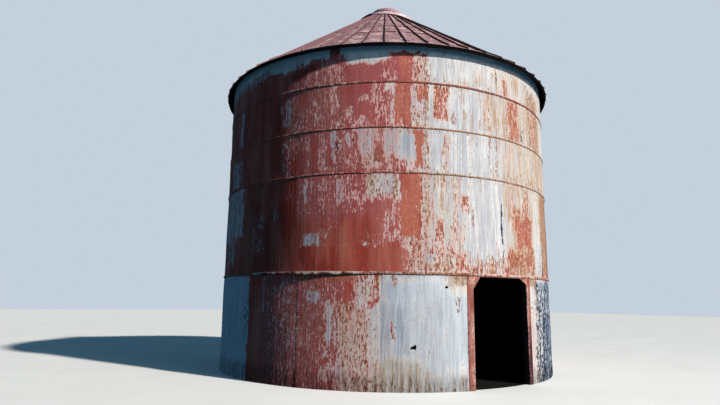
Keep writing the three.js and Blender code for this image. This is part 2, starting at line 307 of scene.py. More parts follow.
class Finish:
    """One material. Each method adds nodes to it and returns the socket that carries the result."""

    def __init__(self, name):
        self.material = bpy.data.materials.new(name)
        self.material.use_nodes = True
        self.tree = self.material.node_tree
        self.surface = self.tree.nodes["Principled BSDF"]
        self.place = self.tree.nodes.new("ShaderNodeTexCoord").outputs["Object"]

    def feed(self, socket, value):
        if isinstance(value, bpy.types.NodeSocket):
            self.tree.links.new(value, socket)
        else:
            socket.default_value = value

    def sums(self, operation, first, second, third=0.0, clamp=False):
        node = self.tree.nodes.new("ShaderNodeMath")
        node.operation = operation
        node.use_clamp = clamp
        for socket, value in zip(node.inputs, (first, second, third)):
            self.feed(socket, value)
        return node.outputs[0]

    def times(self, first, second):
        return self.sums("MULTIPLY", first, second)

    def layer(self, name):
        node = self.tree.nodes.new("ShaderNodeAttribute")
        node.attribute_name = name
        return node.outputs

    def channels(self, name):
        split = self.tree.nodes.new("ShaderNodeSeparateColor")
        self.feed(split.inputs[0], self.layer(name)["Color"])
        return split.outputs[:3]

    def noise(self, stretch, detail=3.0, shift=0.0, rough=0.55, place=None):
        scaled = self.tree.nodes.new("ShaderNodeVectorMath")
        scaled.operation = "MULTIPLY_ADD"
        self.feed(scaled.inputs[0], place or self.place)
        scaled.inputs[1].default_value = stretch
        scaled.inputs[2].default_value = (shift, shift * 0.7, shift * 0.3)
        node = self.tree.nodes.new("ShaderNodeTexNoise")
        self.feed(node.inputs["Vector"], scaled.outputs[0])
        node.inputs["Scale"].default_value = 1.0
        node.inputs["Detail"].default_value = detail
        node.inputs["Roughness"].default_value = rough
        return node.outputs[0]

    def average(self, *weighted):
        total = 0.0
        for field, weight in weighted:
            total = self.sums("MULTIPLY_ADD", field, weight, total)
        return total

    def cover(self, field, amount, edge):
        """Where a layer lies: hardly anywhere at amount 0, on half of it at 0.5, nearly all over at 1."""
        lifted = self.sums("MULTIPLY_ADD", amount, COVER_SPREAD, -0.5 - COVER_SPREAD / 2)
        level = self.sums("ADD", field, lifted)
        return self.sums("MULTIPLY_ADD", level, 1.0 / edge, 0.5, clamp=True)

    def span(self, field, low, high, start=0.0, end=1.0):
        """From start where the field is low to end where it is high."""
        node = self.tree.nodes.new("ShaderNodeMapRange")
        names = ("Value", "From Min", "From Max", "To Min", "To Max")
        for name, value in zip(names, (field, low, high, start, end)):
            self.feed(node.inputs[name], value)
        return node.outputs["Result"]

    def mix(self, share, first, second, mode="MIX"):
        node = self.tree.nodes.new("ShaderNodeMix")
        node.data_type = "RGBA"
        node.blend_type = mode
        self.feed(node.inputs["Factor"], share)
        self.feed(node.inputs[6], first)
        self.feed(node.inputs[7], second)
        return node.outputs[2]

    def tones(self, field, low, high, first, second):
        """One colour where the field is low, easing into the other where it is high."""
        return self.mix(self.span(field, low, high), first, second)

    def coat(self, base, colour, amount, edge, *weighted):
        """A colour over the base, where its amount and the weighted fields let it lie."""
        return self.mix(self.cover(self.average(*weighted), amount, edge), base, colour)

    def relief(self, height, strength, distance):
        node = self.tree.nodes.new("ShaderNodeBump")
        node.inputs["Strength"].default_value = strength
        node.inputs["Distance"].default_value = distance
        self.feed(node.inputs["Height"], height)
        self.feed(self.surface.inputs["Normal"], node.outputs[0])

    def done(self, colour, roughness, specular=0.3):
        self.feed(self.surface.inputs["Base Color"], colour)
        self.feed(self.surface.inputs["Roughness"], roughness)
        self.surface.inputs["Specular IOR Level"].default_value = specular
        self.surface.inputs["Metallic"].default_value = 0.0
        return self.material


PRIMER_BLUE = srgb(186, 197, 210)
PRIMER_WHITE = srgb(218, 216, 216)
CREAM = srgb(222, 204, 182)
STRIPE = srgb(217, 217, 221)
OCHRE = srgb(162, 120, 76)
CLEAN_AND_PAINTED_LIGHT = srgb(240, 242, 242)
OLD_RED = srgb(176, 72, 54)
DEEP_RED = srgb(154, 58, 44)
FRESH_RED = srgb(184, 100, 80)
MAUVE = srgb(168, 84, 89)
PALE_RED = srgb(178, 110, 92)
PINK_WASH = srgb(230, 174, 168)
RUST_LIGHT = srgb(190, 126, 80)
RUST_DARK = srgb(112, 66, 46)
BARE_STEEL = srgb(44, 56, 78)
SOIL = srgb(120, 98, 72)
NEARLY_BLACK = srgb(38, 17, 18)
GRAIN = srgb(226, 224, 222)
ZINC_BROWN = srgb(66, 56, 50)
ZINC_DARK = srgb(42, 31, 26)
ZINC_GREY = srgb(74, 68, 62)
ROOF_DARK = srgb(120, 84, 89)
ROOF_LIGHT = srgb(147, 110, 116)
ROOF_FADED_AND_PAINTED_LIGHT = srgb(172, 138, 139)
ROOF_RUST = srgb(96, 50, 42)
ROOF_CHALK = srgb(206, 178, 175)
SOOT_AND_SHADE = srgb(8, 7, 7)
SOOT_BROWN_AND_SHADE = srgb(15, 11, 10)
RIB_DARK = srgb(46, 24, 25)
RIB_BROWN = srgb(80, 44, 43)
RIB_PAINTED_LIGHT = srgb(116, 80, 86)
RIB_WORN = srgb(112, 74, 70)
CAP_ROSE = srgb(176, 130, 138)
CAP_PINK = srgb(200, 160, 168)
CAP_CHALK_AND_HIGHLIGHT = srgb(226, 205, 204)
CAP_DULL = srgb(134, 106, 118)
CAP_RUST_AND_SHADE = srgb(104, 56, 50)
FRAME_DARK = srgb(138, 68, 58)
FRAME_LIGHT = srgb(164, 94, 84)
FRAME_PALE = srgb(218, 176, 160)
FRAME_SHADE = srgb(62, 26, 34)
RING_BROWN = srgb(70, 42, 30)
RING_RUST = srgb(116, 70, 44)
RING_DARK = srgb(48, 30, 24)
PALE_FLOOR = srgb(226, 226, 224)
EARTH_PAINTED_SHADE = srgb(20, 17, 15)
BACKDROP = srgb(196, 208, 220)


def peeling_paint():
    """Red paint peeling in upright streaks off pale primer; rust, bare steel, soil, painted shade and light.
    """
    look = Finish("wall_paint")
    red, cream, fresh = look.channels("paint")
    rust, bare, mauve = look.channels("wear")
    soil, lap, shade = look.channels("soil")
    faded, stained, clean = look.channels("age")
    patch = look.noise((3.2, 3.2, 0.8), 3.0, 19.0)
    streak = look.noise((12.0, 12.0, 1.8), 4.0, 0.0, 0.6)
    thin_streak = look.noise((33.0, 33.0, 6.4), 3.0, 7.0, 0.6)
    chip = look.noise((32.0, 32.0, 14.0), 3.0, 13.0, 0.6)
    band = look.noise((13.0, 13.0, 0.4), 3.0, 31.0)
    line = look.noise((30.0, 30.0, 1.6), 3.0, 43.0)
    speck = look.noise((46.0, 46.0, 17.0), 2.0, 57.0, 0.6)
    grain = look.noise((110.0, 110.0, 60.0), 2.0, 3.0)
    flake = look.average((streak, 0.22), (thin_streak, 0.42), (chip, 0.36))
    fleck = look.average((thin_streak, 0.35), (chip, 0.65))
    run = look.average((band, 0.65), (thin_streak, 0.35))

    tint = look.sums("ADD", run, look.sums("SUBTRACT", cream, 0.5))
    primer = look.tones(tint, 0.0, 0.45, PRIMER_BLUE, PRIMER_WHITE)
    primer = look.tones(tint, 0.5, 1.0, primer, CREAM)
    stripe = look.span(look.average((band, 0.4), (line, 0.6)), 0.56, 0.44)
    primer = look.mix(stripe, primer, STRIPE, "MULTIPLY")
    has_stain = look.cover(look.average((line, 0.75), (chip, 0.25)), stained, 0.05)
    primer = look.mix(look.times(has_stain, 0.75), primer, OCHRE)
    # Painted light: this lifts the primer towards white in the shadow under the eave.
    primer = look.mix(clean, primer, CLEAN_AND_PAINTED_LIGHT)

    paint = look.tones(patch, 0.38, 0.62, DEEP_RED, OLD_RED)
    paint = look.coat(paint, MAUVE, mauve, 0.3, (patch, 0.5), (streak, 0.5))
    paint = look.coat(paint, FRESH_RED, fresh, 0.2, (patch, 1.0))
    # Sun fading, and on the left by the line between light and shade, painted light.
    paint = look.mix(look.times(faded, look.span(streak, 0.3, 0.7, 0.4, 1.0)), paint, PALE_RED)
    peppered = look.times(look.span(speck, 0.60, 0.66, 0.0, 0.6), look.span(red, 1.35, 0.85, 0.15, 1.0))
    paint = look.mix(peppered, paint, PINK_WASH)

    has_paint = look.cover(flake, red, 0.022)
    near_paint = look.cover(flake, look.sums("MULTIPLY_ADD", red, 1.25, 0.4), 0.10)
    pinkness = look.sums("MULTIPLY_ADD", mauve, 0.65, 0.25, clamp=True)
    washed = look.mix(look.times(near_paint, pinkness), primer, PINK_WASH)
    colour = look.mix(has_paint, washed, paint)
    has_rust = look.cover(look.average((fleck, 0.7), (run, 0.3)), rust, 0.05)
    rust_tone = look.tones(chip, 0.38, 0.62, RUST_LIGHT, RUST_DARK)
    colour = look.mix(look.times(has_rust, 0.75), colour, rust_tone)
    colour = look.coat(colour, BARE_STEEL, bare, 0.03, (streak, 0.35), (chip, 0.65))
    colour = look.mix(look.times(soil, look.span(run, 0.36, 0.60)), colour, SOIL, "MULTIPLY")
    colour = look.mix(look.times(lap, 0.15), colour, RUST_DARK)
    # Painted shade, mixed towards nearly black. In the blue and tan patches a little of it is a darker tone
    # of paint.
    colour = look.mix(look.times(shade, 0.85), colour, NEARLY_BLACK)
    colour = look.mix(look.span(grain, 0.35, 0.65), colour, GRAIN, "MULTIPLY")

    height = look.average((band, 1.0), (streak, 0.5), (has_paint, 0.12), (grain, 0.06), (has_rust, 0.06))
    look.relief(height, 0.5, 0.0105)
    roughness = look.span(look.average((has_rust, 0.5), (grain, 0.5)), 0.0, 1.0, 0.55, 0.85)
    return look.done(colour, roughness, 0.15)


def inner_steel():
    """The unpainted inside of the sheets: dull zinc gone brown."""
    look = Finish("inner_steel")
    cloud = look.noise((2.5, 2.5, 1.2), 4.0, 2.0)
    run = look.noise((14.0, 14.0, 1.1), 4.0, 9.0)
    grain = look.noise((60.0, 60.0, 40.0))
    colour = look.tones(run, 0.35, 0.65, ZINC_BROWN, ZINC_DARK)
    colour = look.coat(colour, ZINC_GREY, 0.4, 0.12, (cloud, 1.0))
    look.relief(grain, 0.3, 0.002)
    return look.done(colour, look.span(grain, 0.3, 0.7, 0.6, 0.85))


def roof_paint():
    """Faded red roof paint, paler on the shaded side as painted light, chalky in spots, brown along the laps
    and ribs.
    """
    look = Finish("roof_paint")
    local = look.layer("local")["Vector"]
    fade_and_painted_light, stain, spot = look.channels("paint")
    run = look.noise((26.0, 2.6, 1.0), 4.0, 0.0, 0.6, local)
    cloud = look.noise((5.0, 3.0, 1.0), 4.0, 11.0, 0.6, local)
    chip = look.noise((30.0, 24.0, 1.0), 4.0, 23.0, 0.6, local)
    grain = look.noise((120.0, 120.0, 120.0), 2.0)
    colour = look.tones(cloud, 0.36, 0.64, ROOF_DARK, ROOF_LIGHT)
    colour = look.coat(colour, ROOF_FADED_AND_PAINTED_LIGHT, fade_and_painted_light, 0.12, (run, 1.0))
    colour = look.coat(colour, ROOF_RUST, stain, 0.07, (run, 0.4), (chip, 0.6))
    colour = look.coat(colour, ROOF_CHALK, spot, 0.05, (cloud, 0.5), (chip, 0.5))
    look.relief(look.average((run, 0.5), (chip, 0.3), (grain, 0.2)), 0.3, 0.004)
    return look.done(colour, look.span(chip, 0.3, 0.7, 0.5, 0.75))


def soffit():
    """The roof sheets' underside, nearly black with old soot and rust, and painted shade."""
    look = Finish("soffit")
    cloud = look.noise((4.0, 4.0, 4.0), 4.0, 5.0)
    look.relief(cloud, 0.2, 0.003)
    return look.done(look.tones(cloud, 0.35, 0.65, SOOT_AND_SHADE, SOOT_BROWN_AND_SHADE), 0.9, 0.03)


def rib_paint():
    """The standing ribs, dark brown where the paint has gone, paler on the shaded side as painted light."""
    look = Finish("rib_paint")
    cloud = look.noise((8.0, 8.0, 8.0), 4.0, 5.0)
    chip = look.noise((50.0, 50.0, 50.0), 3.0, 1.0)
    colour = look.tones(cloud, 0.40, 0.62, RIB_DARK, RIB_BROWN)
    colour = look.mix(look.channels("paint")[0], colour, RIB_PAINTED_LIGHT)
    colour = look.coat(colour, RIB_WORN, 0.1, 0.05, (chip, 1.0))
    look.relief(chip, 0.3, 0.002)
    return look.done(colour, look.span(chip, 0.3, 0.7, 0.6, 0.8))


def cap_paint():
    """Chalky pink over pale primer, stained in runs down the slope, with painted highlight and painted
    shadow.
    """
    look = Finish("cap_paint")
    fade_and_painted_light, stain, dull = look.channels("paint")
    cloud = look.noise((7.0, 7.0, 9.0), 4.0, 17.0, 0.6)
    chip = look.noise((38.0, 38.0, 30.0), 4.0, 5.0, 0.6)
    colour = look.tones(cloud, 0.38, 0.62, CAP_ROSE, CAP_PINK)
    colour = look.coat(colour, CAP_CHALK_AND_HIGHLIGHT, fade_and_painted_light, 0.08, (cloud, 0.5), (chip, 0.5))
    colour = look.mix(dull, colour, CAP_DULL)
    colour = look.coat(colour, CAP_RUST_AND_SHADE, stain, 0.07, (cloud, 0.4), (chip, 0.6))
    look.relief(look.average((cloud, 0.6), (chip, 0.4)), 0.35, 0.004)
    return look.done(colour, look.span(chip, 0.3, 0.7, 0.5, 0.75))


def frame_paint():
    """The door frame's red paint, paler along its folds, rusted at its foot, with painted shade inside the
    opening.
    """
    look = Finish("frame_paint")
    pale, rust, dark_and_inside_shade = look.channels("paint")
    cloud = look.noise((5.0, 5.0, 1.6), 4.0, 3.0, 0.6)
    chip = look.noise((46.0, 46.0, 18.0), 4.0, 8.0, 0.6)
    colour = look.tones(cloud, 0.36, 0.64, FRAME_DARK, FRAME_LIGHT)
    colour = look.coat(colour, FRAME_PALE, pale, 0.06, (cloud, 0.4), (chip, 0.6))
    colour = look.coat(colour, RUST_DARK, rust, 0.07, (chip, 1.0))
    colour = look.coat(colour, FRAME_SHADE, dark_and_inside_shade, 0.07, (cloud, 0.5), (chip, 0.5))
    look.relief(look.average((cloud, 0.5), (chip, 0.5)), 0.35, 0.003)
    return look.done(colour, look.span(chip, 0.3, 0.7, 0.5, 0.8))


def rusty_ring():
    """Angle rings inside the silo, rusted all over."""
    look = Finish("rusty_ring")
    cloud = look.noise((6.0, 6.0, 6.0), 4.0, 3.0, 0.6)
    chip = look.noise((70.0, 70.0, 70.0), 3.0, 8.0, 0.6)
    colour = look.tones(cloud, 0.36, 0.64, RING_BROWN, RING_RUST)
    colour = look.coat(colour, RING_DARK, 0.3, 0.05, (chip, 1.0))
    look.relief(chip, 0.5, 0.002)
    return look.done(colour, look.span(chip, 0.3, 0.7, 0.7, 0.9))


def plain_stage(name, colour, roughness):
    """A nearly even colour for the floor and the ground."""
    look = Finish(name)
    darker = tuple(value * 0.94 for value in colour[:3]) + (1.0,)
    return look.done(look.tones(look.noise((0.6, 0.6, 0.6)), 0.3, 0.7, darker, colour), roughness, 0.1)


# Wall: where the paint is whole, peeled or stained


def wall_radius(bearing, height):
    """Outer face of the sheets, with the ripples and dents of thin sheet that has stood for decades."""
    calm = np.full(np.broadcast(bearing, height).shape, 1.0)
    for level in LEVELS:
        calm = np.minimum(calm, np.abs(height - level) / CALM_HEIGHT)
    from_door = (np.abs(turn_from(0.0, bearing)) - DOOR_BEARING - 1.0) / 3.0
    calm = np.where(height < SEAMS[0], np.minimum(calm, np.clip(from_door, 0.0, 1.0)), calm)
    waves = RIPPLE * drift(bearing, height, 110, 1.1, 11) + DENT * drift(bearing, height, 36, 0.45, 12)
    return WALL_RADIUS + ease(calm) * waves


# What a named kind of patch brings to the paint channels

KINDS = {
    "red": dict(red=0.96, rust=0.0, bare=-0.5),
    "solid": dict(red=1.4, rust=-0.2, bare=-0.5, mauve=0.0, faded=0.0),
    "flecked": dict(red=0.75, cream=0.5, mauve=0.7, rust=0.05, bare=-0.5),
    "chips": dict(red=0.46, cream=0.5),
    "streaks": dict(red=0.58, cream=0.35, mauve=0.6),
    "thin": dict(red=0.5, cream=0.7, faded=0.7, fresh=0.4, mauve=0.3, bare=-0.5),
    "tan": dict(red=0.56, cream=1.0, faded=1.0, fresh=0.2, mauve=0.0, rust=0.5, bare=-0.5, shade=0.06),
    "white": dict(red=-0.3, cream=0.42, rust=-0.15, fresh=0.0, mauve=0.2, bare=-0.5, stained=-0.1),
    "sky": dict(red=-0.3, cream=0.0, rust=-0.1, bare=-0.5, stained=-0.3),
    "blue": dict(red=0.05, cream=0.0, mauve=0.2, rust=-0.1, bare=-0.5, stained=-0.3, shade=0.12),
    "cream": dict(cream=0.95),
    "speckle": dict(red=0.24, cream=0.75, rust=0.40, faded=0.4),
    "orange": dict(red=1.05, fresh=1.2),
    "mauve": dict(mauve=1.0, fresh=-0.5),
    # Paler paint: sun fading, and painted light where it lies by the line between light and shade.
    "faded": dict(faded=0.6),
    "stained": dict(stained=0.55),
    "rust": dict(rust=0.75),
    "bare": dict(bare=0.7),
    "soil": dict(soil=1.0),
    # Paler primer: clean paint, and painted light in the eave's shadow.
    "clean": dict(clean=1.0),
    "grey": dict(red=-0.2, cream=0.9, stained=1.1, rust=0.45, mauve=0.0, faded=0.0),
    # This kind is painted shade.
    "shade": dict(shade=1.0),
}

# Each stroke is a kind, bearings from and to, heights from and to, then its strength if not 1,
# then its softness if its edges are to be sharp. Noise alone paints the side that isn't shown.

# In these tables the shade strokes are painted shade: past the line between light and shade on the left,
# along the eave's shadow and under the hoops.
TOP_STROKES = (
    ("red", -112, -24, 6.04, 6.95), ("sky", -112, -58, 6.51, 6.95, 0.95), ("white", -58, -34, 6.63, 6.95),
    ("sky", -62, -20, 6.68, 6.95, 0.9), ("white", -34, -24, 6.72, 6.95), ("solid", -33.4, -24, 6.58, 6.66),
    ("solid", -52, -49.4, 6.56, 6.84), ("solid", -98, -66, 6.04, 6.46, 0.7),
    ("shade", -112, -60, 6.5, 6.7, 0.3), ("flecked", -64, -33, 6.04, 6.62, 0.7),
    ("mauve", -64, -33, 6.04, 6.64), ("solid", -47, -37, 6.1, 6.5, 0.7),
    ("mauve", -47, -28, 6.04, 6.64, 1.2), ("faded", -47, -34, 6.04, 6.62, 0.35),
    ("white", -47, -34, 6.49, 6.95, 0.9), ("mauve", -47, -34, 6.45, 6.6, 0.7),
    ("chips", -60.9, -58.3, 6.16, 6.34, 0.6), ("white", -56.3, -55.3, 6.06, 6.5, 0.5),
    ("chips", -54.5, -48, 6.1, 6.46, 0.6), ("chips", -36.8, -32.8, 6.06, 6.22, 0.8),
    ("orange", -32, -28.4, 6.04, 6.61), ("speckle", -28.3, -24, 6.04, 6.62),
    ("streaks", -28.2, -25.5, 6.1, 6.5, 0.6), ("rust", -24.4, -23.2, 6.04, 6.7, 0.8),
    ("white", -23.5, 40, 6.04, 6.95), ("cream", -18, 0, 6.04, 6.95, 0.15),
    ("cream", -9, -4.8, 6.18, 6.5, 0.6), ("stained", -9, -4.8, 6.1, 6.36, 0.6),
    ("stained", -2, 26, 6.04, 6.75, 0.55), ("stained", -22, -2, 6.04, 6.3, 0.3),
    ("speckle", -19, -12, 6.05, 6.16, 0.4), ("bare", -0.5, 0.4, 6.2, 6.7, 0.7),
    ("tan", 2.2, 4.8, 6.08, 6.5, 0.8), ("cream", 0.5, 40, 6.04, 6.95, 0.5),
    ("stained", 7.4, 10.4, 6.1, 6.6, 0.9), ("bare", 14.8, 23, 6.42, 6.56, 0.7),
    ("stained", 15, 26, 5.96, 6.44, 1.6), ("rust", 16, 24, 5.96, 6.44, 0.7),
    ("rust", 26, 40, 6.02, 6.9, 0.5), ("shade", -23.5, 0, 6.04, 6.95, 0.05),
    # The clean strokes here are painted light in the eave's shadow.
    ("clean", -112, -58, 6.5, 6.95, 0.74), ("flecked", -106, -74, 6.46, 6.7, 0.6),
    ("cream", -100, -58, 6.5, 6.95, 0.5), ("mauve", -106, -60, 6.46, 6.95, 0.8),
    ("clean", -60, -20, 6.68, 6.95, 0.8), ("clean", -20, 40, 6.72, 6.95),
    ("solid", -65, -59.5, 6.28, 6.5, 0.9), ("shade", -65, -59.5, 6.28, 6.46, 0.5),
    ("solid", -60, -55, 6.36, 6.56, 0.8), ("shade", -60, -56, 6.36, 6.5, 0.5),
)
FOURTH_STROKES = (
    ("solid", -112, -64, 5.08, 6.04, 0.9), ("red", -64, -33, 5.08, 6.04),
    ("streaks", -91.2, -88.5, 5.1, 6.06, 0.9), ("blue", -90.4, -89.2, 5.1, 6.0, 0.7),
    ("chips", -66.4, -63.6, 5.2, 5.96, 0.7), ("blue", -69, -65, 5.25, 5.9, 0.6),
    ("shade", -70, -64, 5.2, 5.95, 0.35), ("flecked", -63, -33, 5.08, 6.04),
    ("rust", -63.5, -61, 5.1, 6.0, 0.3), ("solid", -48.9, -45, 5.5, 6.0, 0.9),
    ("solid", -46, -40.5, 5.76, 6.0, 0.9), ("solid", -44, -40.5, 5.28, 5.56, 0.7),
    ("solid", -62, -58, 5.6, 6.0, 0.6), ("mauve", -60, -33, 5.1, 6.0, 0.85),
    ("faded", -63, -46, 5.08, 6.04, 0.6), ("chips", -57, -55.3, 5.24, 5.74, 0.7),
    ("chips", -51.7, -49, 5.46, 6.02, 0.8), ("chips", -50.7, -48.9, 5.32, 5.46, 0.8),
    ("chips", -51.4, -48.3, 5.1, 5.32, 0.8), ("chips", -47.4, -44, 5.25, 5.53),
    ("chips", -44, -40.6, 5.6, 5.76, 0.7), ("chips", -45.9, -39.6, 5.08, 5.26, 0.85),
    ("orange", -39.9, -37.1, 5.14, 5.48, 0.8), ("streaks", -39.4, -36.4, 5.56, 6.0),
    ("mauve", -39.4, -33, 5.2, 6.0), ("chips", -38.7, -35.3, 5.2, 5.5, 0.7),
    ("white", -35.3, -32.9, 5.76, 6.02, 0.6), ("white", -34.8, -33.2, 5.16, 5.66, 0.6),
    ("thin", -36, -33, 5.1, 6, 0.4), ("orange", -33, -28.7, 5.1, 6.03, 0.75),
    ("faded", -33, -28.7, 5.1, 6.03, 0.5), ("chips", -33, -29, 5.08, 5.3, 0.5),
    ("speckle", -28.4, -23.7, 5.08, 6.0), ("blue", -28, -25, 5.5, 5.85, 0.5),
    ("orange", -26.4, -23.2, 5.68, 5.97), ("rust", -24.3, -23, 5.12, 5.97, 0.8),
    ("white", -23.4, 40, 5.08, 6.04), ("tan", -22.2, -17.3, 5.28, 6.02),
    ("red", -22, -17.6, 5.3, 5.96, 0.4), ("mauve", -22, -17.6, 5.26, 6.0, 0.7),
    ("rust", -16.8, -14.5, 5.2, 5.46, 0.6), ("stained", -13, -9, 5.1, 5.6, 0.6),
    ("speckle", -5.3, -3, 5.12, 5.94, 0.75), ("stained", -7, 24, 5.08, 6.0, 0.9),
    ("cream", -3, 40, 5.08, 6.04, 0.55), ("stained", -0.9, 0.9, 5.4, 5.86, 0.9), ("tan", 4, 9.9, 5.5, 6.03),
    ("tan", 5, 10.7, 5.1, 5.56), ("stained", 3.6, 10.8, 5.1, 6.03, 1.3), ("red", 5, 10, 5.14, 5.96, 0.25),
    ("bare", 11.4, 12.9, 5.14, 5.48, 0.8), ("stained", 15, 27, 5.1, 6.03, 1.6),
    ("rust", 16.4, 25, 5.1, 6.03, 0.8), ("orange", 18, 23, 5.3, 6.0, 0.5),
    ("rust", 2.6, 4.4, 5.3, 5.7, 0.6),
)
THIRD_STROKES = (
    ("solid", -112, -65, 4.15, 5.08, 0.9), ("red", -65, -33, 4.15, 5.08),
    ("blue", -98.7, -88.7, 4.15, 4.84, 0.6), ("chips", -67.9, -65, 4.18, 4.96, 0.7),
    ("flecked", -65, -33, 4.15, 5.08), ("mauve", -62, -36, 4.2, 5.05, 0.8),
    ("rust", -65, -60.5, 4.15, 5.05, 0.3), ("faded", -62, -44, 4.15, 5.08, 0.7),
    ("solid", -64, -59.5, 4.2, 4.7, 0.6), ("streaks", -58.7, -56.3, 4.7, 5.02, 0.6),
    ("solid", -57.5, -55, 4.2, 5.0, 0.6), ("chips", -54.4, -52.9, 4.68, 4.98, 0.8),
    ("chips", -54.7, -52, 4.26, 4.68, 0.7), ("solid", -52, -50.8, 4.3, 4.8, 0.7),
    ("blue", -51.4, -49.5, 4.46, 5.06, 0.7), ("bare", -49.4, -48.8, 4.36, 4.84, 0.9),
    ("streaks", -48.9, -47.3, 4.5, 4.96), ("blue", -46.4, -44.9, 4.7, 4.98, 0.75),
    ("rust", -44.4, -43.3, 4.8, 5.05, 0.8), ("thin", -43.4, -36, 4.2, 5.06, 0.9),
    ("speckle", -43, -37.5, 4.3, 5.0, 0.4), ("blue", -43.2, -38.9, 4.56, 5.06, 0.7),
    ("speckle", -41.2, -37.5, 4.24, 4.58, 0.85), ("orange", -38.2, -36.3, 4.38, 4.74, 0.6),
    ("rust", -38.2, -36.3, 4.38, 4.74, 0.4), ("thin", -36.4, -32.9, 4.2, 5.06, 0.8),
    ("blue", -36, -33, 4.5, 5.06, 0.7), ("mauve", -46, -27, 4.15, 5.08, 0.8),
    ("shade", -44, -31, 4.2, 5.06, 0.08), ("shade", -37, -25, 4.2, 5.06, 0.1),
    ("speckle", -33, -27.7, 4.9, 5.08, 0.8), ("white", -32.3, -27.0, 4.42, 4.94),
    ("blue", -31.6, -27.6, 4.5, 4.9, 0.45), ("flecked", -33, -29.7, 4.15, 4.4, 0.8),
    ("thin", -31, -27.7, 4.15, 4.44, 0.7), ("orange", -27.4, -24.9, 4.24, 5.07),
    ("white", -28.4, -26.8, 4.4, 4.95, 0.4), ("speckle", -25, -23, 4.2, 5.07),
    ("white", -23.1, 40, 4.15, 5.08), ("blue", -23, -19.2, 4.3, 5.06, 0.3),
    ("speckle", -19.4, -17, 4.2, 5.0, 0.9), ("rust", -29, -16, 4.15, 4.3, 0.4),
    ("cream", 1, 40, 4.15, 5.08, 0.65), ("stained", -4, 30, 4.15, 5.08, 0.7),
    ("rust", 2, 30, 4.15, 4.33, 0.35), ("thin", 3, 6, 4.5, 4.9, 0.35), ("bare", 8, 11.5, 4.66, 4.95, 0.3),
    ("rust", -4.6, -3.5, 4.3, 5.0, 0.8), ("rust", -1.7, -0.7, 4.2, 5.0, 0.7),
    ("stained", 12, 36, 4.15, 5.08, 0.7),
)
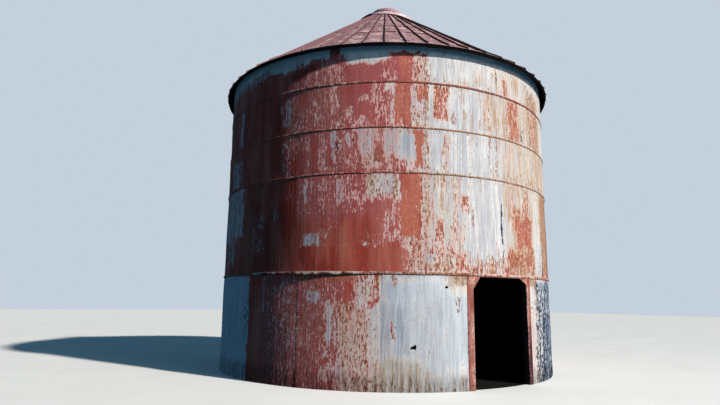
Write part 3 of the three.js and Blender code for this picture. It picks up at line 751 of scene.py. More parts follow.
SECOND_STROKES = (
    ("solid", -112, -31, 2.18, 4.15), ("blue", -112, -85.6, 2.95, 4.13, 0.75),
    ("blue", -101, -91.4, 2.4, 2.98, 0.6), ("streaks", -79.8, -73.8, 2.58, 3.42, 0.85),
    ("chips", -76.9, -74.5, 3.62, 4.06, 0.4), ("chips", -70.4, -68.5, 3.26, 3.5, 0.8),
    ("chips", -66.2, -62.8, 3.6, 4.06, 0.6), ("shade", -84, -61.7, 2.2, 4.12, 0.35, 0.25),
    ("shade", -67, -57, 2.2, 3.5, 0.12), ("faded", -61.7, -46, 2.7, 4.13, 0.45, 0.25),
    ("flecked", -61.7, -41, 3.3, 4.13), ("flecked", -56, -48, 2.95, 3.4, 0.6),
    ("mauve", -61.7, -41, 3.2, 4.13, 0.9), ("white", -59.4, -58.2, 3.56, 4.08, 0.5),
    ("chips", -57, -55.8, 3.8, 4.03, 0.7), ("chips", -54.8, -52.6, 3.78, 4.06, 0.6),
    ("blue", -49.8, -47.6, 3.56, 4.1, 0.6), ("mauve", -50, -45, 3.5, 4.1),
    ("streaks", -47, -45.3, 3.5, 4.08, 0.7), ("chips", -44.9, -42.5, 3.6, 3.78),
    ("thin", -42, -36.8, 3.66, 4.13, 0.6), ("speckle", -41, -31.3, 3.62, 4.13),
    ("blue", -38.5, -34, 3.76, 4.08, 0.3), ("white", -41.9, -31.2, 3.55, 3.64, 0.5),
    ("mauve", -41.9, -31.2, 3.3, 3.66), ("thin", -38, -31.4, 2.74, 3.56, 0.7),
    ("red", -38, -36.5, 3.0, 3.56, 0.6), ("mauve", -38, -31.4, 2.74, 3.56, 0.7),
    ("white", -36.1, -34.6, 2.76, 3.3, 0.25), ("white", -34, -33.2, 2.76, 3.5, 0.3),
    ("rust", -43, -39, 2.7, 3.25, 0.32), ("faded", -44, -38, 2.66, 3.5, 0.4),
    ("chips", -42, -37.6, 2.69, 2.98, 0.5), ("blue", -59.4, -53.6, 2.68, 2.95, 0.9),
    ("chips", -53.8, -51.3, 2.7, 3.02, 0.6), ("solid", -66, -30, 2.2, 2.67, 1, 0.2),
    ("faded", -40, -30, 2.2, 2.67, 0.9), ("chips", -50.4, -44.3, 2.66, 2.74, 0.3),
    ("chips", -43, -31.5, 2.66, 2.78, 0.6), ("orange", -31.3, -26.1, 2.7, 4.15, 1, 0.25),
    ("speckle", -31.3, -23, 2.62, 2.86, 0.9), ("speckle", -26.1, -23, 2.66, 4.15),
    ("white", -23, 40, 2.3, 4.15), ("cream", -26, -16, 2.7, 4.15, 0.4),
    ("stained", -26, -14, 2.3, 4.15, 0.5), ("speckle", -20.6, -18.6, 3.78, 4.1, 0.9),
    ("rust", -22.8, -22, 3.8, 4.15, 0.8), ("thin", -21.9, -19.6, 2.76, 3.28),
    ("orange", -21.5, -20, 2.85, 3.2, 0.3), ("rust", -21.9, -19.6, 2.76, 3.1, 0.6),
    ("speckle", -18.5, -13, 2.7, 3.2, 0.8), ("speckle", -16.4, -14.3, 3.1, 4.14, 0.9),
    ("speckle", -14.6, -11.6, 3.4, 3.75, 1.2), ("mauve", -14, -11.8, 3.4, 3.7, 0.4),
    ("rust", -10.9, -10, 3.14, 3.54), ("thin", -31, -16, 2.2, 2.72, 0.9), ("tan", -26, -12, 2.2, 2.6, 0.5),
    ("red", -23.2, -18, 2.48, 2.7, 0.3), ("red", -31, -27, 2.2, 2.6, 0.15),
    ("speckle", -29, -16, 2.2, 2.7, 0.5), ("mauve", -31, -11, 2.2, 2.75, 0.15),
    ("stained", -26, -11, 2.2, 2.7, 0.5), ("blue", -24.6, -21.2, 2.36, 2.56, 0.6),
    ("white", -17.6, -14.8, 2.33, 2.5, 0.5), ("rust", -31, 2, 2.18, 2.5, 0.35),
    ("thin", -16, -12.5, 2.18, 2.52, 0.95), ("red", -15.5, -13, 2.2, 2.5, 0.5),
    ("speckle", -12.5, 2, 2.18, 2.44, 0.8), ("bare", -0.1, 0.7, 2.95, 3.72, 1.2),
    ("bare", -0.1, 0.7, 2.3, 2.95, 1.0), ("rust", -12, 1, 2.2, 2.62, 0.25),
    ("stained", -12, 1, 2.2, 2.6, 0.6), ("cream", 1, 40, 2.18, 4.15, 0.6),
    ("stained", 1, 24, 3.3, 4.15, 0.8), ("speckle", 3.2, 6.2, 3.2, 4.14, 0.75),
    ("tan", 5.2, 9.5, 3.2, 3.66), ("rust", 10.6, 14.6, 3.44, 4.13, 0.7),
    ("tan", 10.6, 14.6, 3.44, 3.9, 0.8), ("tan", 6.4, 16.9, 2.7, 3.5),
    ("stained", 4.6, 17.4, 2.7, 3.7, 1.3), ("red", 7, 15, 2.8, 3.4, 0.6), ("tan", 2, 18.4, 2.2, 2.74),
    ("stained", 2, 19.4, 2.2, 2.74, 1.2), ("red", 8, 17, 2.3, 2.7, 0.3), ("red", 1, 8, 2.2, 2.7, 0.25),
    ("speckle", 2, 20, 2.18, 2.4, 0.6), ("rust", 2, 20, 2.18, 2.7, 0.35), ("white", 17, 23.4, 2.25, 4.13),
    ("cream", 17, 23.4, 2.25, 4.13, 0.5), ("stained", 22.6, 44, 2.2, 4.14, 1.3),
    ("rust", 24, 44, 2.2, 4.14, 0.9), ("shade", 32, 44, 2.2, 4.14, 0.3),
    ("bare", 18.6, 25.6, 2.24, 2.9, 0.75), ("blue", 18, 24, 2.3, 3.0, 0.4),
)
BOTTOM_STROKES = (
    ("sky", -112, -80, -0.1, 2.18), ("solid", -80, -66, -0.1, 2.18), ("red", -66, -47, -0.1, 2.18),
    ("shade", -80.5, -66, -0.1, 2.18, 0.08), ("faded", -82, -54, -0.1, 1.9, 0.5),
    ("chips", -72, -60, 0.1, 1.9, 0.35), ("bare", -83, -79, 0.6, 1.7, 0.6),
    ("chips", -77, -74, 0.6, 2.1, 0.5), ("white", -73.3, -72.5, 1.2, 2.1, 0.4),
    ("streaks", -71, -59, 0.6, 1.9, 0.4), ("flecked", -72, -60, 0.0, 2.18, 0.4),
    ("flecked", -59, -47, -0.1, 2.18), ("mauve", -74, -60, -0.1, 2.1, 0.7),
    ("mauve", -60, -48, -0.1, 2.1, 0.9), ("mauve", -48, -38, -0.1, 2.1, 0.25),
    ("faded", -60, -47, -0.1, 2.0, 0.4), ("streaks", -58.7, -52.5, 1.56, 1.96, 0.9),
    ("blue", -56.5, -53.5, 1.64, 1.84, 0.7), ("orange", -61, -36, 2.0, 2.18, 0.8),
    ("rust", -61, -36, 2.02, 2.18, 0.5), ("streaks", -52.7, -47, 0.2, 1.62),
    ("white", -51.5, -49.9, 0.9, 1.6, 0.5), ("speckle", -48.2, -39.5, -0.1, 1.62, 0.95),
    ("cream", -48, -37, -0.1, 1.6, 0.9), ("thin", -47.5, -39.6, -0.1, 1.64, 0.35),
    ("solid", -46.8, -44.6, 1.58, 1.98), ("streaks", -44.4, -41, 1.48, 2.0),
    ("white", -43, -41.8, 1.5, 2.0, 0.6), ("white", -39.5, -12, -0.1, 2.18),
    ("speckle", -40.6, -36.4, -0.1, 1.5, 0.6), ("sky", -39, -12, 0.5, 2.0, 0.85),
    ("clean", -30, -13, 0.4, 2.1, 0.3), ("soil", -38, -20, 0.3, 1.6, 0.2),
    ("cream", -39.5, -33, 0.1, 1.7, 0.4), ("speckle", -39.5, -36.8, -0.1, 1.5, 0.5),
    ("cream", -33, -24, 0.3, 1.7, 0.06), ("speckle", -41.5, -38.8, 1.7, 2.18, 0.7),
    ("orange", -39.1, -36.8, 1.66, 2.18), ("speckle", -44, -36.8, 1.7, 2.16, 0.5),
    ("rust", -37.9, -36.6, 1.64, 2.18, 0.6), ("streaks", -40.4, -37.6, 1.56, 1.74),
    ("cream", -37.4, -34.6, 1.6, 2.14, 0.4), ("sky", -36.6, -27, 0.9, 2.0, 0.4),
    ("bare", -32.6, -31.7, 1.5, 2.0, 0.5), ("rust", -33.8, -32, 1.94, 2.18, 0.75),
    ("orange", -33.4, -32.4, 2.0, 2.18, 0.6), ("rust", -34.1, -33.2, 0.86, 1.32, 0.7),
    ("orange", -34.0, -33.3, 0.9, 1.3, 0.8), ("rust", -17.4, -13, 1.94, 2.18, 0.6),
    ("cream", -17.6, -13, 1.8, 2.18), ("stained", -18.4, -12.6, 1.96, 2.18, 2.2),
    ("rust", -16, -14.8, 1.48, 1.74, 0.75), ("cream", -40, -25, -0.1, 0.6, 0.6),
    ("soil", -40, -23, -0.1, 0.5, 0.4), ("sky", -23.6, -20.2, 0.4, 0.74, 0.8),
    ("rust", -27.1, -26, 0.44, 0.6, 0.4), ("bare", -13.3, -12.6, 0.66, 0.72, 1, 0.15),
    ("bare", -13.3, -12.6, 0.77, 0.83, 1, 0.15), ("rust", -41, -12, -0.1, 0.2, 0.4),
    ("soil", -46, -12, -0.1, 0.28, 0.6), ("soil", -112, -46, -0.1, 0.35, 0.7),
    ("white", 12, 24, -0.1, 2.18), ("cream", 12, 18, -0.1, 2.18, 0.3), ("sky", 20.6, 44, -0.1, 2.18),
    ("bare", 16, 44, -0.1, 2.14, 0.86), ("bare", 13, 18, -0.1, 1.75, 0.55),
    ("bare", 12.4, 15, 1.3, 1.6, 0.5), ("bare", 20, 44, -0.1, 1.4, 0.9), ("bare", 24, 44, 1.6, 2.14, 0.5),
    ("cream", 17, 24, -0.1, 2.0, 0.3), ("mauve", 12, 16, 0.2, 1.7, 0.8),
    ("thin", 12.5, 15.5, 0.2, 1.6, 0.35), ("stained", 12, 18, 2.0, 2.18, 1.6),
    ("rust", 12, 18, 2.06, 2.18, 0.4), ("soil", 12, 44, -0.1, 0.3, 0.4),
)
# The shade strokes darken the hoops' tone; on their lower halves and under the sprung hoop they are painted
# shade. The pale strokes on top are chipped paint and partly painted highlight.
HOOP_STROKES = (
    ("red", -180, 180, 2.0, 6.2), ("rust", -180, 180, 2.0, 6.2, 0.7), ("mauve", -20, 40, 5.9, 6.2),
    ("faded", -20, 40, 5.9, 6.2, 0.6), ("grey", -24, 40, 4.1, 5.2), ("shade", -180, 180, 2.0, 6.2, 0.15),
    ("shade", -24, 40, 5.9, 6.2, 0.3), ("shade", -180, -24, 5.9, 6.035, 0.2),
    ("shade", -180, -24, 4.95, 5.075, 0.2), ("shade", -180, -24, 4.0, 4.145, 0.2),
    ("chips", -68, -28, 6.045, 6.1), ("chips", -68, -28, 5.085, 5.14), ("chips", -68, -28, 4.155, 4.2),
    ("white", -78, -43, 2.165, 2.25), ("cream", -78, -43, 2.165, 2.25), ("shade", -78, -43, 2.1, 2.17),
    ("thin", -43, 40, 2.1, 2.25, 0.8), ("speckle", -43, -10, 2.18, 2.25, 0.6),
    ("white", -12, 16, 2.17, 2.25, 0.7), ("cream", -12, 16, 2.17, 2.25, 0.8),
    ("rust", -38, -9, 2.1, 2.25, 0.8), ("shade", -38, -9, 2.1, 2.25, 0.22),
)
SEAM_STROKES = tuple(
    stroke
    for seam in SEAMS[1:]
    for stroke in (
        ("stained", -20, 44, seam - 0.3, seam, 0.3),
        ("rust", -24, 44, seam - 0.1, seam + 0.08, 0.3),
    )
)
STROKES = TOP_STROKES + FOURTH_STROKES + THIRD_STROKES + SECOND_STROKES + BOTTOM_STROKES + SEAM_STROKES

# A stroke that reaches an end of the side shown fades out slowly there

SHOWN_FROM, SHOWN_TO = -112, 40
FADE_OUT = 16.0

# The channels of each vertex layer. The soil layer's last channel is painted shade; painted light rides in
# the age layer.

LAYERS = {
    "paint": ("red", "cream", "fresh"),
    "wear": ("rust", "bare", "mauve"),
    "soil": ("soil", "lap", "shade"),
    "age": ("faded", "stained", "clean"),
}


def worn_by_weather(bearing, height):
    """Channels of the whole wall from noise, before the strokes."""
    course = np.searchsorted(SEAMS, height)
    broad = drift(bearing, height, 17, 1.6, 21) + 0.5 * drift(bearing + course * 31, height, 46, 0.8, 22)
    fine = drift(bearing, height, 150, 0.5, 23)
    gone = ease((height - 6.6) / 0.15) + ease(drift(bearing, course * 1.0, 15, 1.0, 24) * 2.0)
    return {
        "red": np.clip(0.78 + 0.45 * broad + 0.2 * fine, 0.05, 1.05) * (1.0 - np.clip(gone, 0, 1) * 0.95),
        "cream": np.clip(0.4 + 0.6 * drift(bearing, height, 21, 1.1, 25), 0.0, 1.0),
        "fresh": np.clip(0.5 * drift(bearing, height, 30, 0.9, 26), 0.0, 1.0),
        "rust": np.clip(0.05 + 0.4 * drift(bearing, height, 60, 0.6, 27), -0.2, 0.5),
        "bare": np.clip(0.8 * drift(bearing, height, 40, 0.8, 28) - 0.5, -0.5, 0.4),
        "mauve": np.clip(0.3 + 0.6 * drift(bearing, height, 50, 0.8, 29), 0.0, 1.0),
        "soil": 0.5 * ease((0.35 - height) / 0.3),
        "lap": np.zeros(len(height)),
        "shade": np.zeros(len(height)),
        "faded": np.clip(0.2 + 0.6 * drift(bearing, height, 19, 1.2, 30), 0.0, 0.6),
        "stained": np.clip(0.1 + 0.6 * drift(bearing, height, 40, 1.5, 36), -0.3, 0.5),
        "clean": np.zeros(len(height)),
    }


def share_of(stroke, even, uneven):
    """How strongly a stroke lies at each place. Only one with a softness of its own has even edges."""
    _, left, right, low, high, *rest = stroke
    strength, softness = rest + [1.0, None][len(rest):]
    wide, tall = right - left, high - low
    if softness:
        bearing, height = even
        blur, rise = softness, 0.1 * softness
    else:
        bearing, height = uneven
        blur = min(max(0.3 * wide, 0.4), 2.4)
        rise = min(max(0.3 * tall, 0.03), 0.16)
    off = turn_from((left + right) / 2, bearing)
    from_left, from_right = (off + wide / 2) / blur, (wide / 2 - off) / blur
    if left <= SHOWN_FROM:
        from_left = (off + wide / 2) / FADE_OUT + 0.5
    if right >= SHOWN_TO:
        from_right = (wide / 2 - off) / FADE_OUT + 0.5
    across = ease(np.minimum(from_left, from_right) + 0.5)
    up = ease((tall / 2 - np.abs(height - (low + high) / 2)) / rise + 0.5)
    return strength * across * up


def paint_wall(piece, more_rust=0.0, joints=(), strokes=STROKES):
    """Writes the paint channels of every vertex from its bearing and height."""
    points = points_of(piece)
    bearing, height = bearing_of(points), points[:, 2]
    values = worn_by_weather(bearing, height)
    ragged = bearing + 0.45 * drift(bearing, height, 90, 0.5, 34)
    ragged += 0.35 * drift(bearing, height, 240, 0.16, 31)
    raised = height + 0.05 * drift(bearing, height, 110, 0.9, 33)
    raised += 0.05 * drift(bearing, height, 330, 0.6, 35)
    for stroke in strokes:
        share = share_of(stroke, (bearing, height), (ragged, raised))
        for channel, value in KINDS[stroke[0]].items():
            values[channel] = values[channel] + (value - values[channel]) * share
    values["rust"] = values["rust"] + more_rust
    for joint in joints:
        off = np.abs(turn_from(joint + degrees_of(LAP_HALF_WIDTH), bearing))
        values["lap"] = np.maximum(values["lap"], ease(1.0 - off / LAP_SHADOW))
    for layer, names in LAYERS.items():
        write_channels(piece, layer, [values[name] for name in names])


def wall_sheet(start, end, low, high, lapped):
    """One curved sheet. Its far edge laps over the next sheet, one thickness proud."""
    lap = degrees_of(LAP_HALF_WIDTH)
    columns = even_steps(start, end - lap - 0.3 if lapped else end, COLUMN_STEP)
    if lapped:
        steps = [-lap, LAP_RAMP - lap, -0.1, 0.1, lap - 0.02, lap]
        columns = np.append(columns, [end + step for step in steps])
    bearing, height = np.meshgrid(columns, even_steps(low, high, ROW_HEIGHT))
    proud = LAP_RISE * ease((bearing - end + lap) / LAP_RAMP) if lapped else 0.0
    radius = wall_radius(bearing, height) + proud
    return shell(ring_point(radius, bearing, height), ring_point(radius - SHEET, bearing, height))


# The bearing and height of each hole rusted through, and its outline round there in millimetres

RUST_HOLES = (
    (-18.9, 1.926, ((-38, -6), (-14, -26), (20, -20), (40, 4), (16, 24), (-22, 20))),
    (-28.1, 0.807, ((-64, -38), (-8, -30), (38, -46), (58, 6), (36, 56), (-6, 22), (-52, 4), (-60, -14))),
)


def cut_rust_holes(piece):
    """Two holes rusted through the sheet left of the doorway."""
    for bearing, height, outline in RUST_HOLES:
        turn = Matrix.Rotation(math.radians(bearing), 4, "Z")
        rings = []
        for radius in (WALL_RADIUS - 0.03, WALL_RADIUS + 0.03):
            rings.append([turn @ Vector((x / 1000, -radius, height + z / 1000)) for x, z in outline])
        points, quads, _ = outward(tube(np.array(rings)))
        plug = plain_object("plug", points.tolist(), quads.tolist())
        cut = piece.modifiers.new("rust_hole", "BOOLEAN")
        cut.operation = "DIFFERENCE"
        cut.solver = "EXACT"
        cut.object = plug
        bpy.context.view_layer.objects.active = piece
        bpy.ops.object.modifier_apply(modifier=cut.name)
        bpy.data.objects.remove(plug)


def build_wall():
    """Five courses in five pieces each. Every sheet but the last one before the doorway is lapped."""
    finishes = [peeling_paint(), inner_steel()]
    for level, name in enumerate(COURSES):
        ends = COURSE_ENDS if level else BOTTOM_ENDS
        low = LEVELS[level] + (COURSE_GAP if level else 0.0)
        for i in range(5):
            joints = list(range(ends[i], ends[i + 1] + 1, SHEET_SPAN))
            by_door = level == 0 and i == 4
            chunks = []
            for start, end in zip(joints, joints[1:]):
                lapped = not (by_door and end == joints[-1])
                chunks.append(wall_sheet(start, end, low, LEVELS[level + 1], lapped))
            node = f"{name}_sheets_{i + 1}"
            piece = make_piece(f"{name}_skin_{i + 1}", chunks, finishes, [node])
            if by_door:
                cut_rust_holes(piece)
            paint_wall(piece, joints=joints[1:])
    return finishes[0]


# Hoops and bolts


def build_hoops(paint):
    """Rolled hoops over the seams, a little uneven, and flared where the lowest one has sprung."""
    bearing = np.arange(0.0, 360.0, HOOP_STEP)
    inner = WALL_RADIUS + SHEET + HOOP_GAP
    for i, (seam, (tall, deep)) in enumerate(zip(SEAMS, HOOP_SIZES)):
        half = tall / 2
        wave = drift(bearing, 0.0, 70, 1.0, 41 + i) + 0.5 * drift(bearing, 0.0, 240, 1.0, 51 + i)
        nick = drift(bearing, 0.0, 360, 1.0, 61 + i)
        sprung = ease(1.2 - np.abs(bearing - SPRUNG_BEARING) / 20.0) if i == 0 else 0.0
        outer = WALL_RADIUS + deep * (1.0 + 0.12 * nick) + HOOP_SPRUNG * sprung
        shoulder = outer - deep * 0.4
        middle = seam + HOOP_WAVE * wave
        profile = (
            (inner, -half),
            (shoulder, -half + HOOP_NICK * nick - 0.01 * sprung),
            (outer, -half * 0.5 - 0.02 * sprung),
            (outer, half * 0.3 - 0.01 * sprung),
            (shoulder, half),
            (inner, half),
        )
        rings = np.stack([ring_point(radius, bearing, middle + rise) for radius, rise in profile], axis=1)
        hoop = tube(rings, closed=True)
        piece = make_piece(f"hoop_{i + 1}", [hoop], [paint], [f"seam_hoop_{i + 1}"])
        paint_wall(piece, strokes=STROKES + HOOP_STROKES)


def bolt_head(centre, outward_direction, size):
    """A low six-sided domed head."""
    normal = Vector(outward_direction).normalized()
    side = normal.orthogonal().normalized()
    up = normal.cross(side)
    rings = []
    for radius, rise in ((1.0, -0.1), (1.0, 0.35), (0.6, 0.7)):
        ring = []
        for i in range(6):
            turn = math.radians(60 * i)
            offset = side * math.cos(turn) + up * math.sin(turn)
            ring.append(Vector(centre) + size * (offset * radius + normal * rise))
        rings.append(ring)
    return tube(np.array(rings))


def wall_bolt(bearing, height, lift):
    """A bolt head at its lift above the rippled sheet."""
    radius = float(wall_radius(np.array([bearing]), np.array([height]))[0]) + lift
    return bolt_head(ring_point(radius, bearing, height), ring_point(1.0, bearing, 0.0), BOLT_SIZE)


def build_bolts(paint):
    """Two columns of bolts down every lap and a row above and below every hoop."""
    column = degrees_of(BOLT_COLUMN)
    for level in range(len(COURSES)):
        first = 0 if level else DOOR_BEARING
        joints = range(0, 360, SHEET_SPAN) if level else range(first + SHEET_SPAN, 360 - first, SHEET_SPAN)
        low, high = LEVELS[level] + BOLT_MARGIN, LEVELS[level + 1] - BOLT_MARGIN
        heads = []
        for joint in joints:
            for height in even_steps(low, high, BOLT_STEP):
                for side in (-column, column):
                    heads.append(wall_bolt(joint + side, height, LAP_RISE))
        for height in (low, high):
            for bearing in even_steps(first + BOLT_INSET, 360 - first - BOLT_INSET, BOLT_ROW_STEP):
                if min(abs(turn_from(joint, bearing)) for joint in joints) > BOLT_CLEAR:
                    heads.append(wall_bolt(bearing, height, 0.0))
        piece = make_piece(f"bolts_course_{level + 1}", heads, [paint])
        paint_wall(piece, more_rust=0.15)


# Roof


def roof_underside(radius):
    """The sheets' lower face, a little flatter than the slope along the eave."""
    flare = EAVE_FLARE * ease((radius - EAVE_RADIUS + EAVE_FLARE_LENGTH) / EAVE_FLARE_LENGTH)
    return EAVE_HEIGHT + (EAVE_RADIUS - radius) * math.tan(ROOF_SLOPE) + flare


def on_panel(radius, panel, share, lift):
    """A point on the flat panel between two ribs, share of the way from its left rib."""
    left = ring_point(radius, panel * RIB_STEP, 0.0)
    right = ring_point(radius, (panel + 1) * RIB_STEP, 0.0)
    points = left + (right - left) * share[..., None]
    points[..., 2] = roof_underside(radius) + lift
    return points


def roof_sheet(panel, row):
    """One warped sheet of a panel: its solid, its own flat coordinates and its paint."""
    dice = np.random.default_rng(1000 + panel * 3 + row)
    bounds = (EAVE_RADIUS, *ROOF_LAPS, ROOF_TOP_RADIUS)
    low, high = bounds[row], bounds[row + 1] - (ROOF_LAP if row < 2 else 0.0)
    share, along = np.meshgrid([0.0, 0.06, 0.2, 0.4, 0.6, 0.8, 0.94, 1.0], even_steps(0.0, 1.0, 0.08))
    from_rib = np.minimum(share, 1.0 - share)
    from_end = along * (low - high)
    if row == 0:
        start = low + dice.uniform(-0.010, 0.004) - 0.016 * ease(1.0 - from_rib / 0.10)
    else:
        start = low + dice.uniform(-0.006, 0.006)
    radius = start + (high - start) * along
    crown = np.sin(np.pi * share) * dice.uniform(-0.006, 0.008)
    edge = dice.uniform(0.0, 0.007) * ease(1.0 - from_end / 0.25)
    waves = 0.004 * dice.uniform(-1, 1) * np.sin(along * dice.uniform(5, 12) + dice.uniform(0, 6))
    seat = ROOF_SHEET_RISE * (row + 1)
    lift = seat + (crown + waves + edge) * ease(from_rib / 0.15) + (edge * 0.6 if row else 0.0)
    lift = np.maximum(lift, seat - (0.001 if row else 0.0))
    chunk = shell(on_panel(radius, panel, share, lift), on_panel(radius, panel, share, lift - ROOF_SHEET))
    across = (share - 0.5) * radius * math.radians(RIB_STEP)
    slope = (EAVE_RADIUS - radius) / math.cos(ROOF_SLOPE)
    place = np.stack([across, slope, np.full_like(across, panel * 1.7 + row * 0.6)], axis=-1)

    # Painted light: the fade is stronger on the shaded side. It is stronger near the eave as well.
    shaded_side_painted_light = float(ease(1.6 - abs(panel * RIB_STEP - 270.0) / 40.0))
    at_eave = ease(1.0 - along * 6) * (row == 0)
    fade_and_painted_light = 0.28 + 0.22 * shaded_side_painted_light + 0.25 * dice.uniform(-1, 1) + 0.35 * at_eave
    at_lap = ease(1.0 - from_end / ROOF_LAP) * (row > 0)
    stain = 0.14 + 0.12 * dice.uniform(-1, 1) + 0.45 * at_lap + 0.3 * ease(1.0 - from_rib / 0.07)
    middle = np.exp(-((along - dice.uniform(0.1, 0.8)) / 0.12) ** 2)
    spot = 0.12 + 0.38 * middle * np.sin(np.pi * share) * (dice.uniform() < 0.6)
    paint = np.stack([fade_and_painted_light, stain, spot], axis=-1)
    return chunk, np.concatenate([place.reshape(-1, 3)] * 2), np.concatenate([paint.reshape(-1, 3)] * 2)


def build_roof():
    """Sixty panels in three rows, each warped in its own way, with a standing rib between them."""
    top, under, rib = roof_paint(), soffit(), rib_paint()
    for sector in range(SECTORS):
        panels = range(sector * PANELS_IN_SECTOR, (sector + 1) * PANELS_IN_SECTOR)
        chunks, places, paints = zip(*(roof_sheet(panel, row) for panel in panels for row in range(3)))
        node = f"roof_sector_{sector + 1}"
        piece = make_piece(f"roof_panels_{sector + 1}", chunks, [top, under], [node])
        write_layer(piece, "local", np.concatenate(places), "FLOAT_VECTOR", "vector")
        write_channels(piece, "paint", np.concatenate(paints).T)
        chunks = [roof_rib(number) for number in panels]
        ribs = make_piece(f"roof_ribs_{sector + 1}", chunks, [rib])
        bearing = bearing_of(points_of(ribs)) % 360.0
        # Painted light: the ribs on the shaded side are paler.
        faded = 0.8 * ease((315.0 - bearing) / 6.0) * ease((bearing - 195.0) / 12.0)
        unused = np.zeros_like(faded)
        write_channels(ribs, "paint", [faded, unused, unused])
        make_piece(f"drip_edge_{sector + 1}", [drip_edge(sector)], [under, under])


def drip_edge(sector):
    """The downturned strip under the sheets' ends, black with dirt and painted shade."""
    span = RIB_STEP * PANELS_IN_SECTOR
    bearing, height = np.meshgrid(np.linspace(sector * span, (sector + 1) * span, 97), DRIP_HEIGHTS)
    radius = DRIP_RADIUS + 0.004 * drift(bearing, 0.0, 120, 1.0, 91)
    level = height + 0.004 * drift(bearing, 0.0, 90, 1.0, 92)
    return shell(ring_point(radius, bearing, level), ring_point(radius - CAP_SHEET, bearing, level))


def roof_rib(number):
    """A folded rib from the eave to the cap, wandering a few millimetres off its line."""
    dice = np.random.default_rng(5000 + number)
    radii = np.linspace(EAVE_RADIUS + 0.004, ROOF_TOP_RADIUS, 26)
    phase, turns = dice.uniform(0, 6), dice.uniform(4, 9)
    wander = 0.004 * np.sin(radii * turns + phase)
    lean = dice.uniform(-0.004, 0.004)
    crest = RIB_TOP - 0.002 + 0.0015 * np.sin(radii * 7 + phase)
    half = RIB_WIDTH / 2
    turn = math.radians(number * RIB_STEP)
    side = np.array([math.cos(turn), math.sin(turn), 0.0])
    base = ring_point(radii, number * RIB_STEP, roof_underside(radii))
    rings = []
    for offset, level in ((-1.0, 0.0), (-0.9, 0.75), (-0.4, 1.0), (0.4, 1.0), (0.9, 0.75), (1.0, 0.0)):
        shift = half * offset + wander + (lean if level else 0.0)
        line = base + side * shift[:, None]
        line[:, 2] += level * crest if level else ROOF_SHEET_RISE * 0.5
        rings.append(line)
    return tube(np.stack(rings, axis=1))


# Cap


def turned(profile, seed, wobble):
    """Rings of points round the axis through a profile, dented by noise."""
    bearing = np.arange(0.0, 360.0, CAP_STEP)
    rings = []
    for radius, height in profile:
        dent = wobble * drift(bearing, height, 24, 0.12, seed)
        rings.append(ring_point(radius + dent * min(1.0, radius / 0.3), bearing, height + dent * 0.5))
    return np.array(rings)


def between(start, end, count):
    """Even steps along a line, without its last point."""
    return list(zip(*(np.linspace(a, b, count, endpoint=False) for a, b in zip(start, end))))


def dome(radius, low, high):
    """A low dome that flattens towards its middle."""
    return [(radius * share, low + (high - low) * rise) for share, rise in LID_CURVE]


def settled():
    """The cap has slid a little to one side and dips there, still resting on the roof."""
    towards = Vector(ring_point(1.0, CAP_SLIDE_BEARING, 0.0))
    foot = Vector((0.0, 0.0, SKIRT_FOOT))
    tilt = Matrix.Rotation(CAP_TILT, 4, Vector((0.0, 0.0, 1.0)).cross(towards))
    return Matrix.Translation(foot + towards * CAP_SLIDE) @ tilt @ Matrix.Translation(-foot)


def build_cap():
    """A skirt with an upright rim, and a lid like a low dish turned over on its neck."""
    finish = cap_paint()
    rim_foot = SKIRT_FOOT - RIM_DROP
    rim_top = rim_foot + SKIRT_RIM
    outer, inner = SKIRT_RADIUS, SKIRT_RADIUS - CAP_SHEET
    neck = NECK_RADIUS
    neck_top = SKIRT_TOP - CAP_DROP
    skirt = [(inner, rim_foot), (outer, rim_foot), *between((outer, rim_foot + 0.004), (outer, rim_top), 4),
             *between((outer, rim_top), (neck, neck_top), 8), (neck, neck_top), (neck - CAP_SHEET, neck_top),
             *between((neck - CAP_SHEET, neck_top - CAP_SHEET), (inner, rim_top - CAP_SHEET), 8),
             (inner, rim_top - CAP_SHEET), (inner, rim_foot + 0.03)]
    skirt_piece = make_piece("cap_skirt_skin", [tube(turned(skirt, 71, 0.0025), closed=True)], [finish],
                             ["cap_skirt"])
    foot = LID_FOOT - CAP_DROP
    radius = LID_RADIUS + LID_SPREAD
    inside = radius - CAP_SHEET
    shoulder = foot + LID_WALL
    under = dome(inside, shoulder - CAP_SHEET, LID_APEX - CAP_SHEET)
    over = dome(radius, shoulder, LID_APEX)
    seat, seat_top = foot + 0.0203, foot + 0.024
    lid = [(LID_HOLE, LID_APEX - CAP_SHEET), *under[::-1], (inside, seat_top), (neck - 0.02, seat_top),
           (neck - 0.02, seat), (inside, seat), (inside, foot), (radius, foot), *over, (LID_HOLE, LID_APEX)]
    lid_piece = make_piece("cap_lid_skin", [tube(turned(lid, 72, 0.0))], [finish], ["cap_lid"])
    for piece, dullness in ((skirt_piece, 0.0), (lid_piece, 0.75)):
        points = points_of(piece)
        bearing, height = bearing_of(points), points[:, 2]
        reach = np.hypot(points[:, 0], points[:, 1])
        runs = drift(bearing, 0.0, 40, 1.0, 73)
        # Painted highlight: the fade is strongest on the upright rim.
        fade_and_painted_light = 0.35 + 0.5 * ease(1.0 - np.abs(height - rim_foot - 0.045) / 0.06) + 0.2 * runs
        # Painted shadow under the lid's rim and the skirt's rim, and painted shade on the far side, carried
        # in the stain.
        lid_rim_shadow = (reach > radius - 0.02) * ease((foot + 0.02 - height) / 0.01) * (height > foot - 0.01)
        skirt_edge_shadow = (reach > SKIRT_RADIUS - 0.02) * ease((rim_foot + 0.02 - height) / 0.01)
        far_side_shade = ease((-62.0 - bearing) / 14.0) * ease((bearing + 150.0) / 20.0)
        stain = 0.1 + 0.2 * np.clip(runs, 0, 1) + 1.4 * np.maximum(lid_rim_shadow, skirt_edge_shadow) + 1.1 * far_side_shade
        write_channels(piece, "paint", [fade_and_painted_light, stain, dullness * (0.8 + 0.2 * runs)])
        piece.data.transform(settled())


# Doorway


